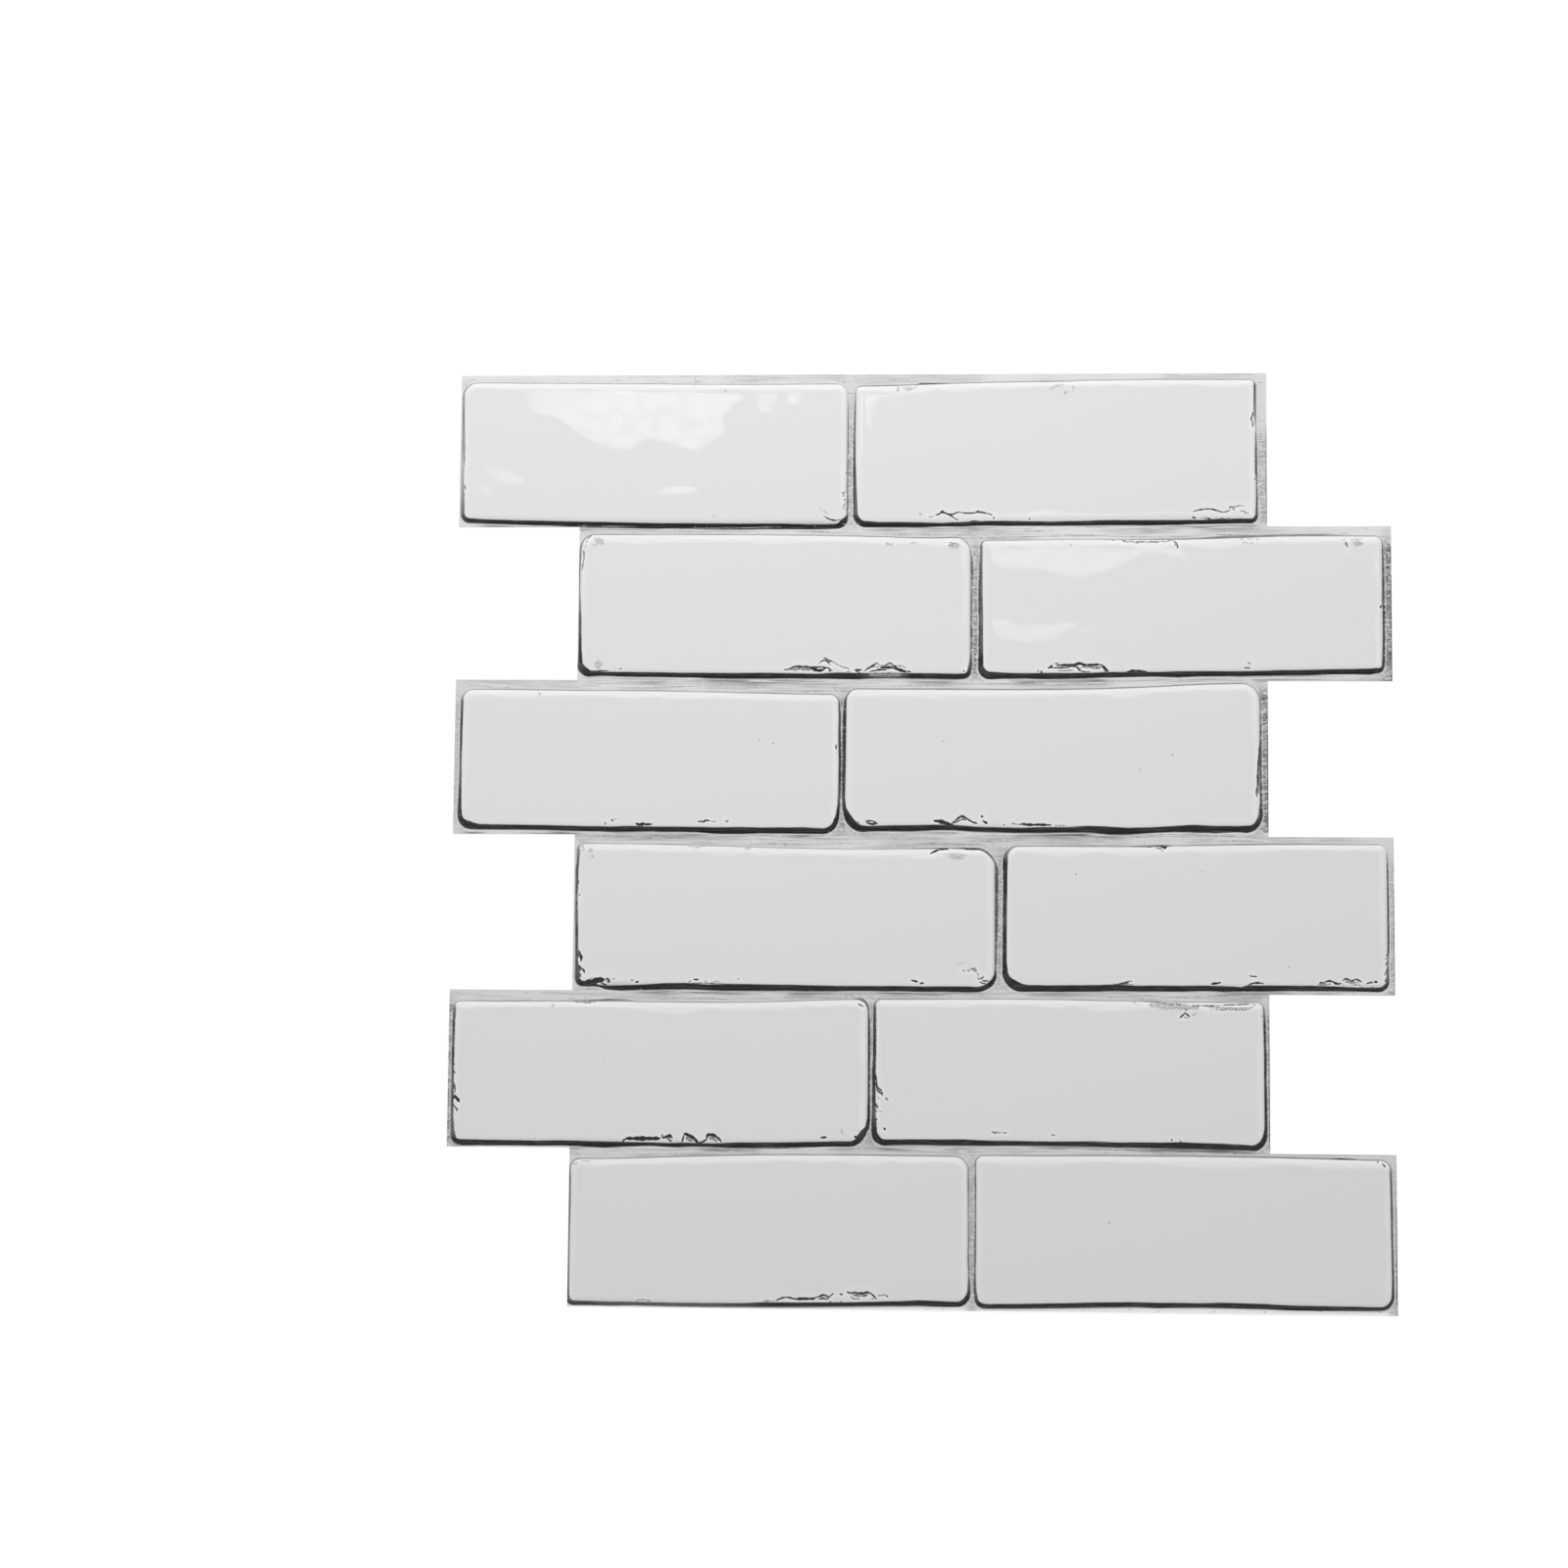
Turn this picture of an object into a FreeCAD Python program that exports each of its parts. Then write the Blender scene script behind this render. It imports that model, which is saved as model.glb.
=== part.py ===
import FreeCAD, Part
import Sketcher
import math
import os

# One peel and stick wall sheet: twelve glossy gel tiles with hand-made outlines, cast on a
# grout-grey printed film whose rows step sideways, and a paper liner over the adhesive back.
# Millimetres, +Z out of the face, +Y towards the first row, origin under the sheet's middle.

doc = FreeCAD.newDocument("backsplash_sheet")
sizes = doc.addObject("Spreadsheet::Sheet", "Sizes")

general_sizes = {
    "row_pitch": 50.8,      # height of one row with its grout, a sixth of the 12 inch sheet
    "row_width": 264.8,     # one row from end to end
    "row_shift": 40.0,      # how far every second row steps to the right
    "liner_thick": 0.15,    # siliconised paper
    "film_thick": 0.45,     # printed vinyl with its adhesive
    "gel_height": 1.4,      # cast gel above the film
    "rim_slope": 0.85,      # the pillowed rim's steep slope, as wide as it is high
    "rim_ease": 0.5,        # how far the slope's upper edge is cut back, down the slope and along the face
}

# Grout at the row's left end, place and width of the joint between its two tiles, grout at its right end.
row_sizes = {
    "row_1": {"start_gap": 0.5, "joint_at": 129.2, "joint_width": 2.4, "end_gap": 3.4},
    "row_2": {"start_gap": 0.3, "joint_at": 130.1, "joint_width": 3.0, "end_gap": 2.9},
    "row_3": {"start_gap": 1.8, "joint_at": 127.1, "joint_width": 1.7, "end_gap": 2.6},
    "row_4": {"start_gap": 0.8, "joint_at": 138.3, "joint_width": 2.9, "end_gap": 2.2},
    "row_5": {"start_gap": 1.2, "joint_at": 137.0, "joint_width": 1.5, "end_gap": 1.7},
    "row_6": {"start_gap": 0.2, "joint_at": 129.9, "joint_width": 2.1, "end_gap": 1.5},
}

# Each tile's hand-made outline: the radii of its corners (upper left, upper right, lower right, lower left),
# and the grout over and under it at its left end, quarter, middle, three quarters and right end.
tile_sizes = {
    "tile_1_left": {
        "corner": (5.0, 4.0, 3.0, 3.0),
        "over": (2.5, 2.8, 3.0, 3.4, 3.2),
        "under": (1.5, 1.0, 0.5, 0.3, 0.5),
    },
    "tile_1_right": {
        "corner": (2.0, 2.0, 2.0, 4.0),
        "over": (4.0, 2.9, 2.5, 1.8, 2.2),
        "under": (0.3, 0.4, 0.7, 0.9, 1.4),
    },
    "tile_2_left": {
        "corner": (5.0, 5.0, 2.0, 4.0),
        "over": (2.6, 2.6, 2.7, 3.2, 3.8),
        "under": (1.5, 1.3, 0.7, 0.9, 0.8),
    },
    "tile_2_right": {
        "corner": (2.0, 2.5, 2.0, 3.5),
        "over": (4.6, 4.0, 4.9, 3.1, 3.4),
        "under": (0.8, 1.2, 1.8, 2.1, 2.8),
    },
    "tile_3_left": {
        "corner": (4.0, 3.0, 5.5, 4.5),
        "over": (3.2, 3.6, 3.5, 4.1, 4.7),
        "under": (1.7, 1.5, 1.3, 0.9, 0.8),
    },
    "tile_3_right": {
        "corner": (4.0, 6.0, 4.0, 6.5),
        "over": (2.9, 3.0, 3.1, 2.4, 0.9),
        "under": (2.0, 2.3, 1.3, 1.1, 2.4),
    },
    "tile_4_left": {
        "corner": (2.0, 6.0, 6.0, 2.5),
        "over": (3.0, 3.2, 4.3, 4.7, 4.0),
        "under": (1.4, 0.5, 0.6, 0.6, 0.5),
    },
    "tile_4_right": {
        "corner": (4.5, 3.0, 3.0, 6.0),
        "over": (3.3, 3.4, 2.9, 2.3, 2.4),
        "under": (0.8, 1.2, 1.3, 1.5, 1.6),
    },
    "tile_5_left": {
        "corner": (2.0, 4.0, 6.0, 2.5),
        "over": (3.8, 3.5, 3.6, 3.8, 2.5),
        "under": (0.9, 1.2, 1.1, 0.8, 1.6),
    },
    "tile_5_right": {
        "corner": (2.5, 2.0, 4.5, 4.0),
        "over": (2.3, 1.9, 2.0, 2.6, 2.6),
        "under": (1.8, 2.1, 1.8, 1.6, 1.0),
    },
    "tile_6_left": {
        "corner": (3.5, 5.0, 4.0, 2.0),
        "over": (3.5, 2.6, 1.6, 1.6, 1.7),
        "under": (0.9, 0.5, 0.4, 1.0, 1.7),
    },
    "tile_6_right": {
        "corner": (2.5, 3.5, 4.0, 2.5),
        "over": (1.4, 1.1, 1.0, 1.2, 1.8),
        "under": (1.0, 1.6, 2.2, 2.0, 1.6),
    },
}

corner_words = ("upper_left", "upper_right", "lower_right", "lower_left")
station_words = ("left", "quarter", "middle", "three_quarter", "right")
level_share = 0.08   # how long a waving edge stays level beside each corner, as a share of its length
flat = 0.001         # a face or edge that rises less than this is level


def fill_sheet():
    """Writes every driving size into the sheet, one row each, with its alias."""
    cells = dict(general_sizes)
    for row, gaps in row_sizes.items():
        for word, value in gaps.items():
            cells[f"{row}_{word}"] = value
    for tile, outline in tile_sizes.items():
        for word, radius in zip(corner_words, outline["corner"]):
            cells[f"{tile}_{word}"] = radius
        for edge in ("over", "under"):
            for word, gap in zip(station_words, outline[edge]):
                cells[f"{tile}_{edge}_{word}"] = gap
    for line, (alias, value) in enumerate(cells.items(), 1):
        sizes.set(f"A{line}", alias)
        sizes.set(f"B{line}", str(value))
        sizes.setAlias(f"B{line}", alias)


def new_sketch(body, name):
    """A sketch on the body's own XY plane."""
    plane = next(f for f in body.Origin.OriginFeatures if f.Role == "XY_Plane")
    sketch = body.newObject("Sketcher::SketchObject", name)
    sketch.AttachmentSupport = [(plane, "")]
    sketch.MapMode = "FlatFace"
    return sketch


def value_of(expression):
    """The number that an expression has with the sizes as they are."""
    return float(sizes.evalExpression(expression.replace("Sizes.", "")))


def drive(sketch, name, kind, place, expression):
    """Adds a dimension and binds it to the sheet."""
    index = sketch.addConstraint(Sketcher.Constraint(kind, *place, value_of(expression)))
    sketch.renameConstraint(index, name)
    sketch.setExpression(f"Constraints.{name}", expression)


def stand_at(body, x, y, z):
    """Puts the body at a place that follows the sheet."""
    body.setExpression("Placement.Base.x", x)
    body.setExpression("Placement.Base.y", y)
    body.setExpression("Placement.Base.z", z)
    return body


sheet_left = "-(Sizes.row_width + Sizes.row_shift) / 2"
sheet_top = f"{len(row_sizes) // 2} * Sizes.row_pitch"


def stepped_layer(name, thick, z):
    """A die-cut layer of the sheet: a pair of stepped rows, repeated downwards."""
    body = doc.addObject("PartDesign::Body", name)
    body.Label = name
    pitch = sizes.get("row_pitch")
    width = sizes.get("row_width")
    shift = sizes.get("row_shift")
    sketch = new_sketch(body, f"{name}_outline")
    corners = [
        (0, 2 * pitch),
        (width, 2 * pitch),
        (width, pitch),
        (width + shift, pitch),
        (width + shift, 0),
        (shift, 0),
        (shift, pitch),
        (0, pitch),
    ]
    for start, end in zip(corners, corners[1:] + corners[:1]):
        sketch.addGeometry(Part.LineSegment(FreeCAD.Vector(*start, 0), FreeCAD.Vector(*end, 0)), False)
    for side in range(8):
        sketch.addConstraint(Sketcher.Constraint("Coincident", side, 2, (side + 1) % 8, 1))
        sketch.addConstraint(Sketcher.Constraint("Horizontal" if side % 2 == 0 else "Vertical", side))
    sketch.addConstraint(Sketcher.Constraint("PointOnObject", 7, 1, -2))
    sketch.addConstraint(Sketcher.Constraint("PointOnObject", 4, 1, -1))
    sketch.addConstraint(Sketcher.Constraint("Equal", 0, 4))
    sketch.addConstraint(Sketcher.Constraint("Equal", 1, 7))
    drive(sketch, "row_length", "DistanceX", (0, 1, 0, 2), "Sizes.row_width")
    drive(sketch, "step_right", "DistanceX", (2, 1, 2, 2), "Sizes.row_shift")
    drive(sketch, "first_row", "DistanceY", (1, 2, 1, 1), "Sizes.row_pitch")
    drive(sketch, "second_row", "DistanceY", (3, 2, 3, 1), "Sizes.row_pitch")
    doc.recompute()
    pad = body.newObject("PartDesign::Pad", f"{name}_pad")
    pad.Profile = sketch
    pad.setExpression("Length", thick)
    doc.recompute()
    pattern = body.newObject("PartDesign::LinearPattern", f"{name}_rows")
    pattern.Originals = [pad]
    pattern.Direction = (sketch, ["V_Axis"])
    pattern.Reversed = True
    pattern.Occurrences = len(row_sizes) // 2
    pattern.setExpression("Length", f"{len(row_sizes) - 2} * Sizes.row_pitch")
    pattern.Refine = True
    body.Tip = pattern
    return stand_at(body, sheet_left, f"{sheet_top} - 2 * Sizes.row_pitch", z)


def wavy_edge(sketch, name, start, end, heights):
    """A gently waving long edge, as a spline whose ends run level into the corners.

    start and end are expressions of its two ends along the row, heights those at its five stations."""
    span = f"({end} - ({start}))"
    shares = (0, level_share, 0.25, 0.5, 0.75, 1 - level_share, 1)
    lifts = (heights[0], heights[0], *heights[1:4], heights[4], heights[4])
    places = [(f"{start} + {share} * {span}", lift) for share, lift in zip(shares, lifts)]
    poles = [FreeCAD.Vector(value_of(x), value_of(y), 0) for x, y in places]
    first = sketch.GeometryCount
    for pole in poles:
        sketch.addGeometry(Part.Circle(pole, FreeCAD.Vector(0, 0, 1), 1.0), True)
    knots = [0.0, 0.25, 0.5, 0.75, 1.0]
    curve = Part.BSplineCurve()
    curve.buildFromPolesMultsKnots(poles, [4, 1, 1, 1, 4], knots, False, 3)
    edge = sketch.addGeometry(curve, False)
    for number in range(len(poles)):
        sketch.addConstraint(Sketcher.Constraint("Weight", first + number, 1.0))
    pole_kind = "InternalAlignment:Sketcher::BSplineControlPoint"
    sketch.addConstraint([
        Sketcher.Constraint(pole_kind, first + number, 3, edge, number)
        for number in range(len(poles))
    ])
    for number, (x, y) in enumerate(places):
        drive(sketch, f"{name}_x{number}", "DistanceX", (first + number, 3), x)
        drive(sketch, f"{name}_y{number}", "DistanceY", (first + number, 3), y)
    return edge


def top_face(shape):
    """The name of the highest level face."""
    level = [f for f in enumerate(shape.Faces, 1) if f[1].BoundBox.ZLength < flat]
    return f"Face{max(level, key=lambda f: f[1].CenterOfMass.z)[0]}"


def quarter_round(sketch, word, radius, centre_x, centre_y, quadrant):
    """A corner of the outline: a quarter circle, counted anticlockwise from the upper right one."""
    centre = FreeCAD.Vector(value_of(centre_x), value_of(centre_y), 0)
    circle = Part.Circle(centre, FreeCAD.Vector(0, 0, 1), value_of(radius))
    start = quadrant * math.pi / 2
    arc = sketch.addGeometry(Part.ArcOfCircle(circle, start, start + math.pi / 2), False)
    drive(sketch, f"{word}_radius", "Radius", (arc,), radius)
    return arc


def side_line(sketch, x, high, low):
    """A straight short side of the outline."""
    ends = [FreeCAD.Vector(value_of(x), value_of(y), 0) for y in (high, low)]
    return sketch.addGeometry(Part.LineSegment(*ends), False)


def tile_outline(sketch, name, left, right):
    """The tile's foot: two waving long edges and two straight short sides, joined by round corners."""
    radius = {word: f"Sizes.{name}_{word}" for word in corner_words}
    inner = {
        word: f"{left} + {radius[word]}" if word.endswith("left") else f"{right} - {radius[word]}"
        for word in corner_words
    }
    top = [f"Sizes.row_pitch - Sizes.{name}_over_{word}" for word in station_words]
    bottom = [f"Sizes.{name}_under_{word}" for word in station_words]
    centre_y = {
        "upper_left": f"{top[0]} - {radius['upper_left']}",
        "upper_right": f"{top[4]} - {radius['upper_right']}",
        "lower_left": f"{bottom[0]} + {radius['lower_left']}",
        "lower_right": f"{bottom[4]} + {radius['lower_right']}",
    }
    upper = wavy_edge(sketch, "upper", inner["upper_left"], inner["upper_right"], top)
    lower = wavy_edge(sketch, "lower", inner["lower_left"], inner["lower_right"], bottom)
    arc = {
        word: quarter_round(sketch, word, radius[word], inner[word], centre_y[word], quadrant)
        for quadrant, word in enumerate(("upper_right", "upper_left", "lower_left", "lower_right"))
    }
    left_line = side_line(sketch, left, centre_y["upper_left"], centre_y["lower_left"])
    right_line = side_line(sketch, right, centre_y["upper_right"], centre_y["lower_right"])

    # Point 1 of an arc is its start, 2 its end and 3 its centre; each long edge starts at the left.
    for word, arc_end, edge, edge_end in (
        ("upper_left", 1, upper, 1),
        ("upper_right", 2, upper, 2),
        ("lower_left", 2, lower, 1),
        ("lower_right", 1, lower, 2),
    ):
        sketch.addConstraint(Sketcher.Constraint("Coincident", arc[word], arc_end, edge, edge_end))
        sketch.addConstraint(Sketcher.Constraint("Vertical", arc[word], 3, arc[word], arc_end))
    for word, arc_end, line, line_end in (
        ("upper_left", 2, left_line, 1),
        ("lower_left", 1, left_line, 2),
        ("upper_right", 1, right_line, 1),
        ("lower_right", 2, right_line, 2),
    ):
        sketch.addConstraint(Sketcher.Constraint("Tangent", arc[word], arc_end, line, line_end))


def gel_tile(name, number, side):
    """One cast tile: its outline padded up from the film, with a pillowed rim all round."""
    row = f"Sizes.row_{number}_"
    half_joint = f"{row}joint_width / 2"
    if side == "left":
        left, right = f"{row}start_gap", f"{row}joint_at - {half_joint}"
    else:
        left, right = f"{row}joint_at + {half_joint}", f"Sizes.row_width - {row}end_gap"
    body = doc.addObject("PartDesign::Body", name)
    body.Label = name
    sketch = new_sketch(body, f"{name}_outline")
    tile_outline(sketch, name, left, right)
    doc.recompute()

    pad = body.newObject("PartDesign::Pad", f"{name}_pad")
    pad.Profile = sketch
    pad.setExpression("Length", "Sizes.gel_height")
    doc.recompute()
    slope = body.newObject("PartDesign::Chamfer", f"{name}_slope")
    slope.Base = (pad, [top_face(pad.Shape)])
    slope.setExpression("Size", "Sizes.rim_slope")
    doc.recompute()
    ease = body.newObject("PartDesign::Chamfer", f"{name}_ease")
    ease.Base = (slope, [top_face(slope.Shape)])
    ease.setExpression("Size", "Sizes.rim_ease")
    doc.recompute()
    body.Tip = ease
    return stand_at(
        body,
        f"{sheet_left} + {(number - 1) % 2} * Sizes.row_shift",
        f"{sheet_top} - {number} * Sizes.row_pitch",
        "Sizes.liner_thick + Sizes.film_thick",
    )


fill_sheet()
doc.recompute()

sub_parts = [
    stepped_layer("release_liner", "Sizes.liner_thick", "0"),
    stepped_layer("printed_film", "Sizes.film_thick", "Sizes.liner_thick"),
]
for number in range(1, len(row_sizes) + 1):
    for side in ("left", "right"):
        sub_parts.append(gel_tile(f"tile_{number}_{side}", number, side))
doc.recompute()

for item in doc.Objects:
    if "Invalid" in item.State or "Error" in item.State:
        raise RuntimeError(f"{item.Label} failed: {item.State}")
os.makedirs("parts", exist_ok=True)
for body in sub_parts:
    shape = body.Shape
    if shape.isNull() or not shape.isValid() or len(shape.Solids) != 1:
        raise RuntimeError(f"{body.Label} is not one valid solid")
    shape.exportStep(f"parts/{body.Label}.step")
    box = shape.BoundBox
    print(f"{body.Label}: {shape.Volume:.0f} mm3, x {box.XMin:.1f} to {box.XMax:.1f},"
          f" y {box.YMin:.1f} to {box.YMax:.1f}, z {box.ZMin:.2f} to {box.ZMax:.2f}")
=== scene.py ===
import bpy
import math
import numpy as np
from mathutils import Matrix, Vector, noise
from mathutils.geometry import delaunay_2d_cdt
from mathutils.kdtree import KDTree


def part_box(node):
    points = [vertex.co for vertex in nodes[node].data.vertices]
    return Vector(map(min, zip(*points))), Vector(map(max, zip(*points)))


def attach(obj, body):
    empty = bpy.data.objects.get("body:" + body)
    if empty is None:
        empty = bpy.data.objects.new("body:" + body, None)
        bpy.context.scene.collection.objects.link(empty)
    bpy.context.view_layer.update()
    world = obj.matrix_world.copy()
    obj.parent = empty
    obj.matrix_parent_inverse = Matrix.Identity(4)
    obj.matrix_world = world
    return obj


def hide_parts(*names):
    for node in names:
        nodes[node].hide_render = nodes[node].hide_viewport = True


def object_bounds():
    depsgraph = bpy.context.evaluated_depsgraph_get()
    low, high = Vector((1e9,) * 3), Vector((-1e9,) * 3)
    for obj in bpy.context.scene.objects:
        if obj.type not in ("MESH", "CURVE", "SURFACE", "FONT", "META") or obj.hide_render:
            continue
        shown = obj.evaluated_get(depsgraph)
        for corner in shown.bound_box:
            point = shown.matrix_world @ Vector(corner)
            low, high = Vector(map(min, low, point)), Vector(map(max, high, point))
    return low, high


# One peel and stick wall sheet lying face up: white gel tiles with hand-made rims, cast on a
# film printed as sandy grey grout, with a paper liner under it. Sizes are real millimetres.

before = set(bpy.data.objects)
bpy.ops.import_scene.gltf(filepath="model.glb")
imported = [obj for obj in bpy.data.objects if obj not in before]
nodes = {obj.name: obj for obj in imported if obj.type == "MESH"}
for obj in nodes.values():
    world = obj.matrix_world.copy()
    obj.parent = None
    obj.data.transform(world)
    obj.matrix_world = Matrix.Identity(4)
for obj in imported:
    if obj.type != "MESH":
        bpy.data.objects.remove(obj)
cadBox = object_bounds()
mm = 0.001
tileNames = sorted(name for name in nodes if name.startswith("tile_"))
rowCount = len(tileNames) // 2
sheetTop = cadBox[1][1] / mm
rowPitch = (cadBox[1][1] - cadBox[0][1]) / mm / rowCount
print("frame loaded:", len(nodes), "nodes, rows every", round(rowPitch, 1), "mm")


def srgb(hexText):
    channels = [int(hexText[i:i + 2], 16) / 255 for i in (1, 3, 5)]
    linear = [c / 12.92 if c <= 0.04045 else ((c + 0.055) / 1.055) ** 2.4 for c in channels]
    return (*linear, 1.0)


def addNode(tree, kind, inputs=(), **settings):
    # Inputs come in order or by name, and only those that the settings leave in use count. Each is
    # a value, an output to link, or a node, which stands for its first output.
    node = tree.nodes.new(kind)
    for name, value in settings.items():
        setattr(node, name, value)
    inUse = [socket for socket in node.inputs if socket.enabled]
    if isinstance(inputs, dict):
        pairs = [(next(s for s in inUse if s.name == name), value) for name, value in inputs.items()]
    else:
        pairs = zip(inUse, inputs)
    for socket, value in pairs:
        if isinstance(value, bpy.types.Node):
            value = next(output for output in value.outputs if output.enabled)
        if isinstance(value, bpy.types.NodeSocket):
            tree.links.new(value, socket)
        else:
            socket.default_value = value
    return node


def newMaterial(name):
    material = bpy.data.materials.new(name)
    material.use_nodes = True
    material.node_tree.nodes.clear()
    return material, material.node_tree


def surface(tree, look, colour, relief=None):
    # closes a material, with a fine relief where a height pattern is given
    inputs = {"Base Color": colour, "Roughness": look["roughness"], "IOR": look["ior"]}
    if relief is not None:
        bump = {"Strength": look["reliefStrength"], "Distance": look["reliefMm"] * mm, "Height": relief}
        inputs["Normal"] = addNode(tree, "ShaderNodeBump", bump)
    shader = addNode(tree, "ShaderNodeBsdfPrincipled", inputs)
    addNode(tree, "ShaderNodeOutputMaterial", [shader])


def grain(tree, sizeMm, detail=2.0, stretch=(1.0, 1.0, 1.0)):
    # a noise whose blobs are about sizeMm across
    place = addNode(tree, "ShaderNodeTexCoord").outputs["Object"]
    scaled = addNode(tree, "ShaderNodeMapping", {"Vector": place, "Scale": stretch})
    size = {"Vector": scaled, "Scale": 1 / (sizeMm * mm), "Detail": detail, "Roughness": 0.55}
    return addNode(tree, "ShaderNodeTexNoise", size)


def blobs(tree, sizeMm, start, full, detail=2.0, stretch=(1.0, 1.0, 1.0), least=0.0, most=1.0):
    # the same noise as blobs: they start at one of its levels, and are full at another
    levels = (grain(tree, sizeMm, detail, stretch), start, full, least, most)
    return addNode(tree, "ShaderNodeMapRange", levels, interpolation_type="SMOOTHSTEP")


def windingLines(tree, source, halfWidth):
    # thin lines, where a noise crosses its middle value
    away = addNode(tree, "ShaderNodeMath", (source, 0.5), operation="SUBTRACT")
    away = addNode(tree, "ShaderNodeMath", [away], operation="ABSOLUTE")
    levels = (away, 0.0, halfWidth, 1.0, 0.0)
    return addNode(tree, "ShaderNodeMapRange", levels, interpolation_type="SMOOTHSTEP")


# Where the level joints between the rows lie, from the line where a row starts.
rowJoint = {"aboveMm": 1.6, "depthMm": 5.4}


def rowsDown(tree, place):
    # millimetres down the sheet, from a little above its upper edge
    height = addNode(tree, "ShaderNodeSeparateXYZ", [place]).outputs["Y"]
    heightMm = addNode(tree, "ShaderNodeMath", (height, mm), operation="DIVIDE")
    return addNode(tree, "ShaderNodeMath", (sheetTop + rowJoint["aboveMm"], heightMm), operation="SUBTRACT")


# The dark contour printed round every tile: nearly black, with paler streaks along it. Where it widens
# along the tiles' lower and left sides it is partly painted shadow, standing in for the rims' shade.
inkAndShadowLook = {
    "inkAndShadow": "#1A1A1A",
    "streak": "#4C4C4C",
    "streaks": {"sizeMm": 0.4, "start": 0.48, "full": 0.72, "stretch": (0.07, 1.0, 1.0)},
    "softMm": 0.20,         # half the width over which its edge fades
    "raggedGrainMm": 0.7,
}


def inkAndShadowColour(tree):
    mix = (blobs(tree, **inkAndShadowLook["streaks"]), srgb(inkAndShadowLook["inkAndShadow"]), srgb(inkAndShadowLook["streak"]))
    return addNode(tree, "ShaderNodeMix", mix, data_type="RGBA")


def inkAndShadowShare(tree):
    # how much of the contour, print and partly painted shadow, shows at a place
    inkAndShadowEdge, inkAndShadowTone, roughMm = [
        addNode(tree, "ShaderNodeAttribute", attribute_name=name).outputs["Fac"]
        for name in ("inkAndShadowEdge", "inkAndShadowTone", "roughMm")
    ]
    ragged = (grain(tree, inkAndShadowLook["raggedGrainMm"]), 2.0, -1.0)
    ragged = addNode(tree, "ShaderNodeMath", ragged, operation="MULTIPLY_ADD")
    edge = addNode(tree, "ShaderNodeMath", (ragged, roughMm, inkAndShadowEdge), operation="MULTIPLY_ADD")
    levels = (edge, -inkAndShadowLook["softMm"], inkAndShadowLook["softMm"])
    share = addNode(tree, "ShaderNodeMapRange", levels, interpolation_type="SMOOTHSTEP")
    return addNode(tree, "ShaderNodeMath", (share, inkAndShadowTone), operation="MULTIPLY")


# Cast polyurethane gel over a white print: poured smooth, so it is glossy, with soft wide highlights
# on its rims, helped by painted highlight that makes the rims paler. The dark contour, cracks and worn
# patches of the hand-made look are printed under it; the contour is partly painted shadow as well.
gelLook = {
    "face": "#DADADA",
    # painted highlight: the paler colour of the rims
    "paintedRimHighlight": "#EFEFEF",
    "roughness": 0.02,
    "ior": 1.47,
    "raggedMm": 0.10,
    "raggedGrainMm": 0.6,
    "crackCoreMm": 0.20,    # how far inside its edge a crack is fully dark
    "dots": {"sizeMm": 0.5, "start": 0.46, "full": 0.62, "detail": 1.0},  # coarser than real print
    "marks": {
        "worn": {"pale": "#C8C8C8", "dark": "#A0A0A0", "softMm": 0.30, "ragged": 6.0},
        "flake": {"pale": "#A2A2A2", "dark": "#606060", "softMm": 0.16, "ragged": 4.0},
        "crack": {"pale": "#626262", "dark": "#262626", "softMm": 0.10, "ragged": 1.0},
    },
}


def castGelMaterial():
    look = gelLook
    material, tree = newMaterial("White cast gel")
    # painted highlight: the rims are mixed towards a paler colour
    paintedRimHighlight = addNode(tree, "ShaderNodeAttribute", attribute_name="paintedRimHighlight").outputs["Fac"]
    mix = (paintedRimHighlight, srgb(look["face"]), srgb(look["paintedRimHighlight"]))
    colour = addNode(tree, "ShaderNodeMix", mix, data_type="RGBA")
    # the contour: print, and painted shadow where it widens along the lower and left sides
    mix = (inkAndShadowShare(tree), colour, inkAndShadowColour(tree))
    colour = addNode(tree, "ShaderNodeMix", mix, data_type="RGBA")
    ragged = (grain(tree, look["raggedGrainMm"]), 2 * look["raggedMm"], -look["raggedMm"])
    ragged = addNode(tree, "ShaderNodeMath", ragged, operation="MULTIPLY_ADD")
    dots = blobs(tree, **look["dots"])
    for kind, part in look["marks"].items():
        inside = addNode(tree, "ShaderNodeAttribute", attribute_name=kind + "Edge").outputs["Fac"]
        inside = addNode(tree, "ShaderNodeMath", (ragged, part["ragged"], inside), operation="MULTIPLY_ADD")
        levels = (inside, -part["softMm"], part["softMm"])
        share = addNode(tree, "ShaderNodeMapRange", levels, interpolation_type="SMOOTHSTEP")
        dark = dots
        if kind == "crack":
            levels = (inside, 0.0, look["crackCoreMm"])
            dark = addNode(tree, "ShaderNodeMapRange", levels, interpolation_type="SMOOTHSTEP")
        mix = (dark, srgb(part["pale"]), srgb(part["dark"]))
        tint = addNode(tree, "ShaderNodeMix", mix, data_type="RGBA")
        colour = addNode(tree, "ShaderNodeMix", (share, colour, tint), data_type="RGBA")
    surface(tree, look, colour)
    return material


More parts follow.
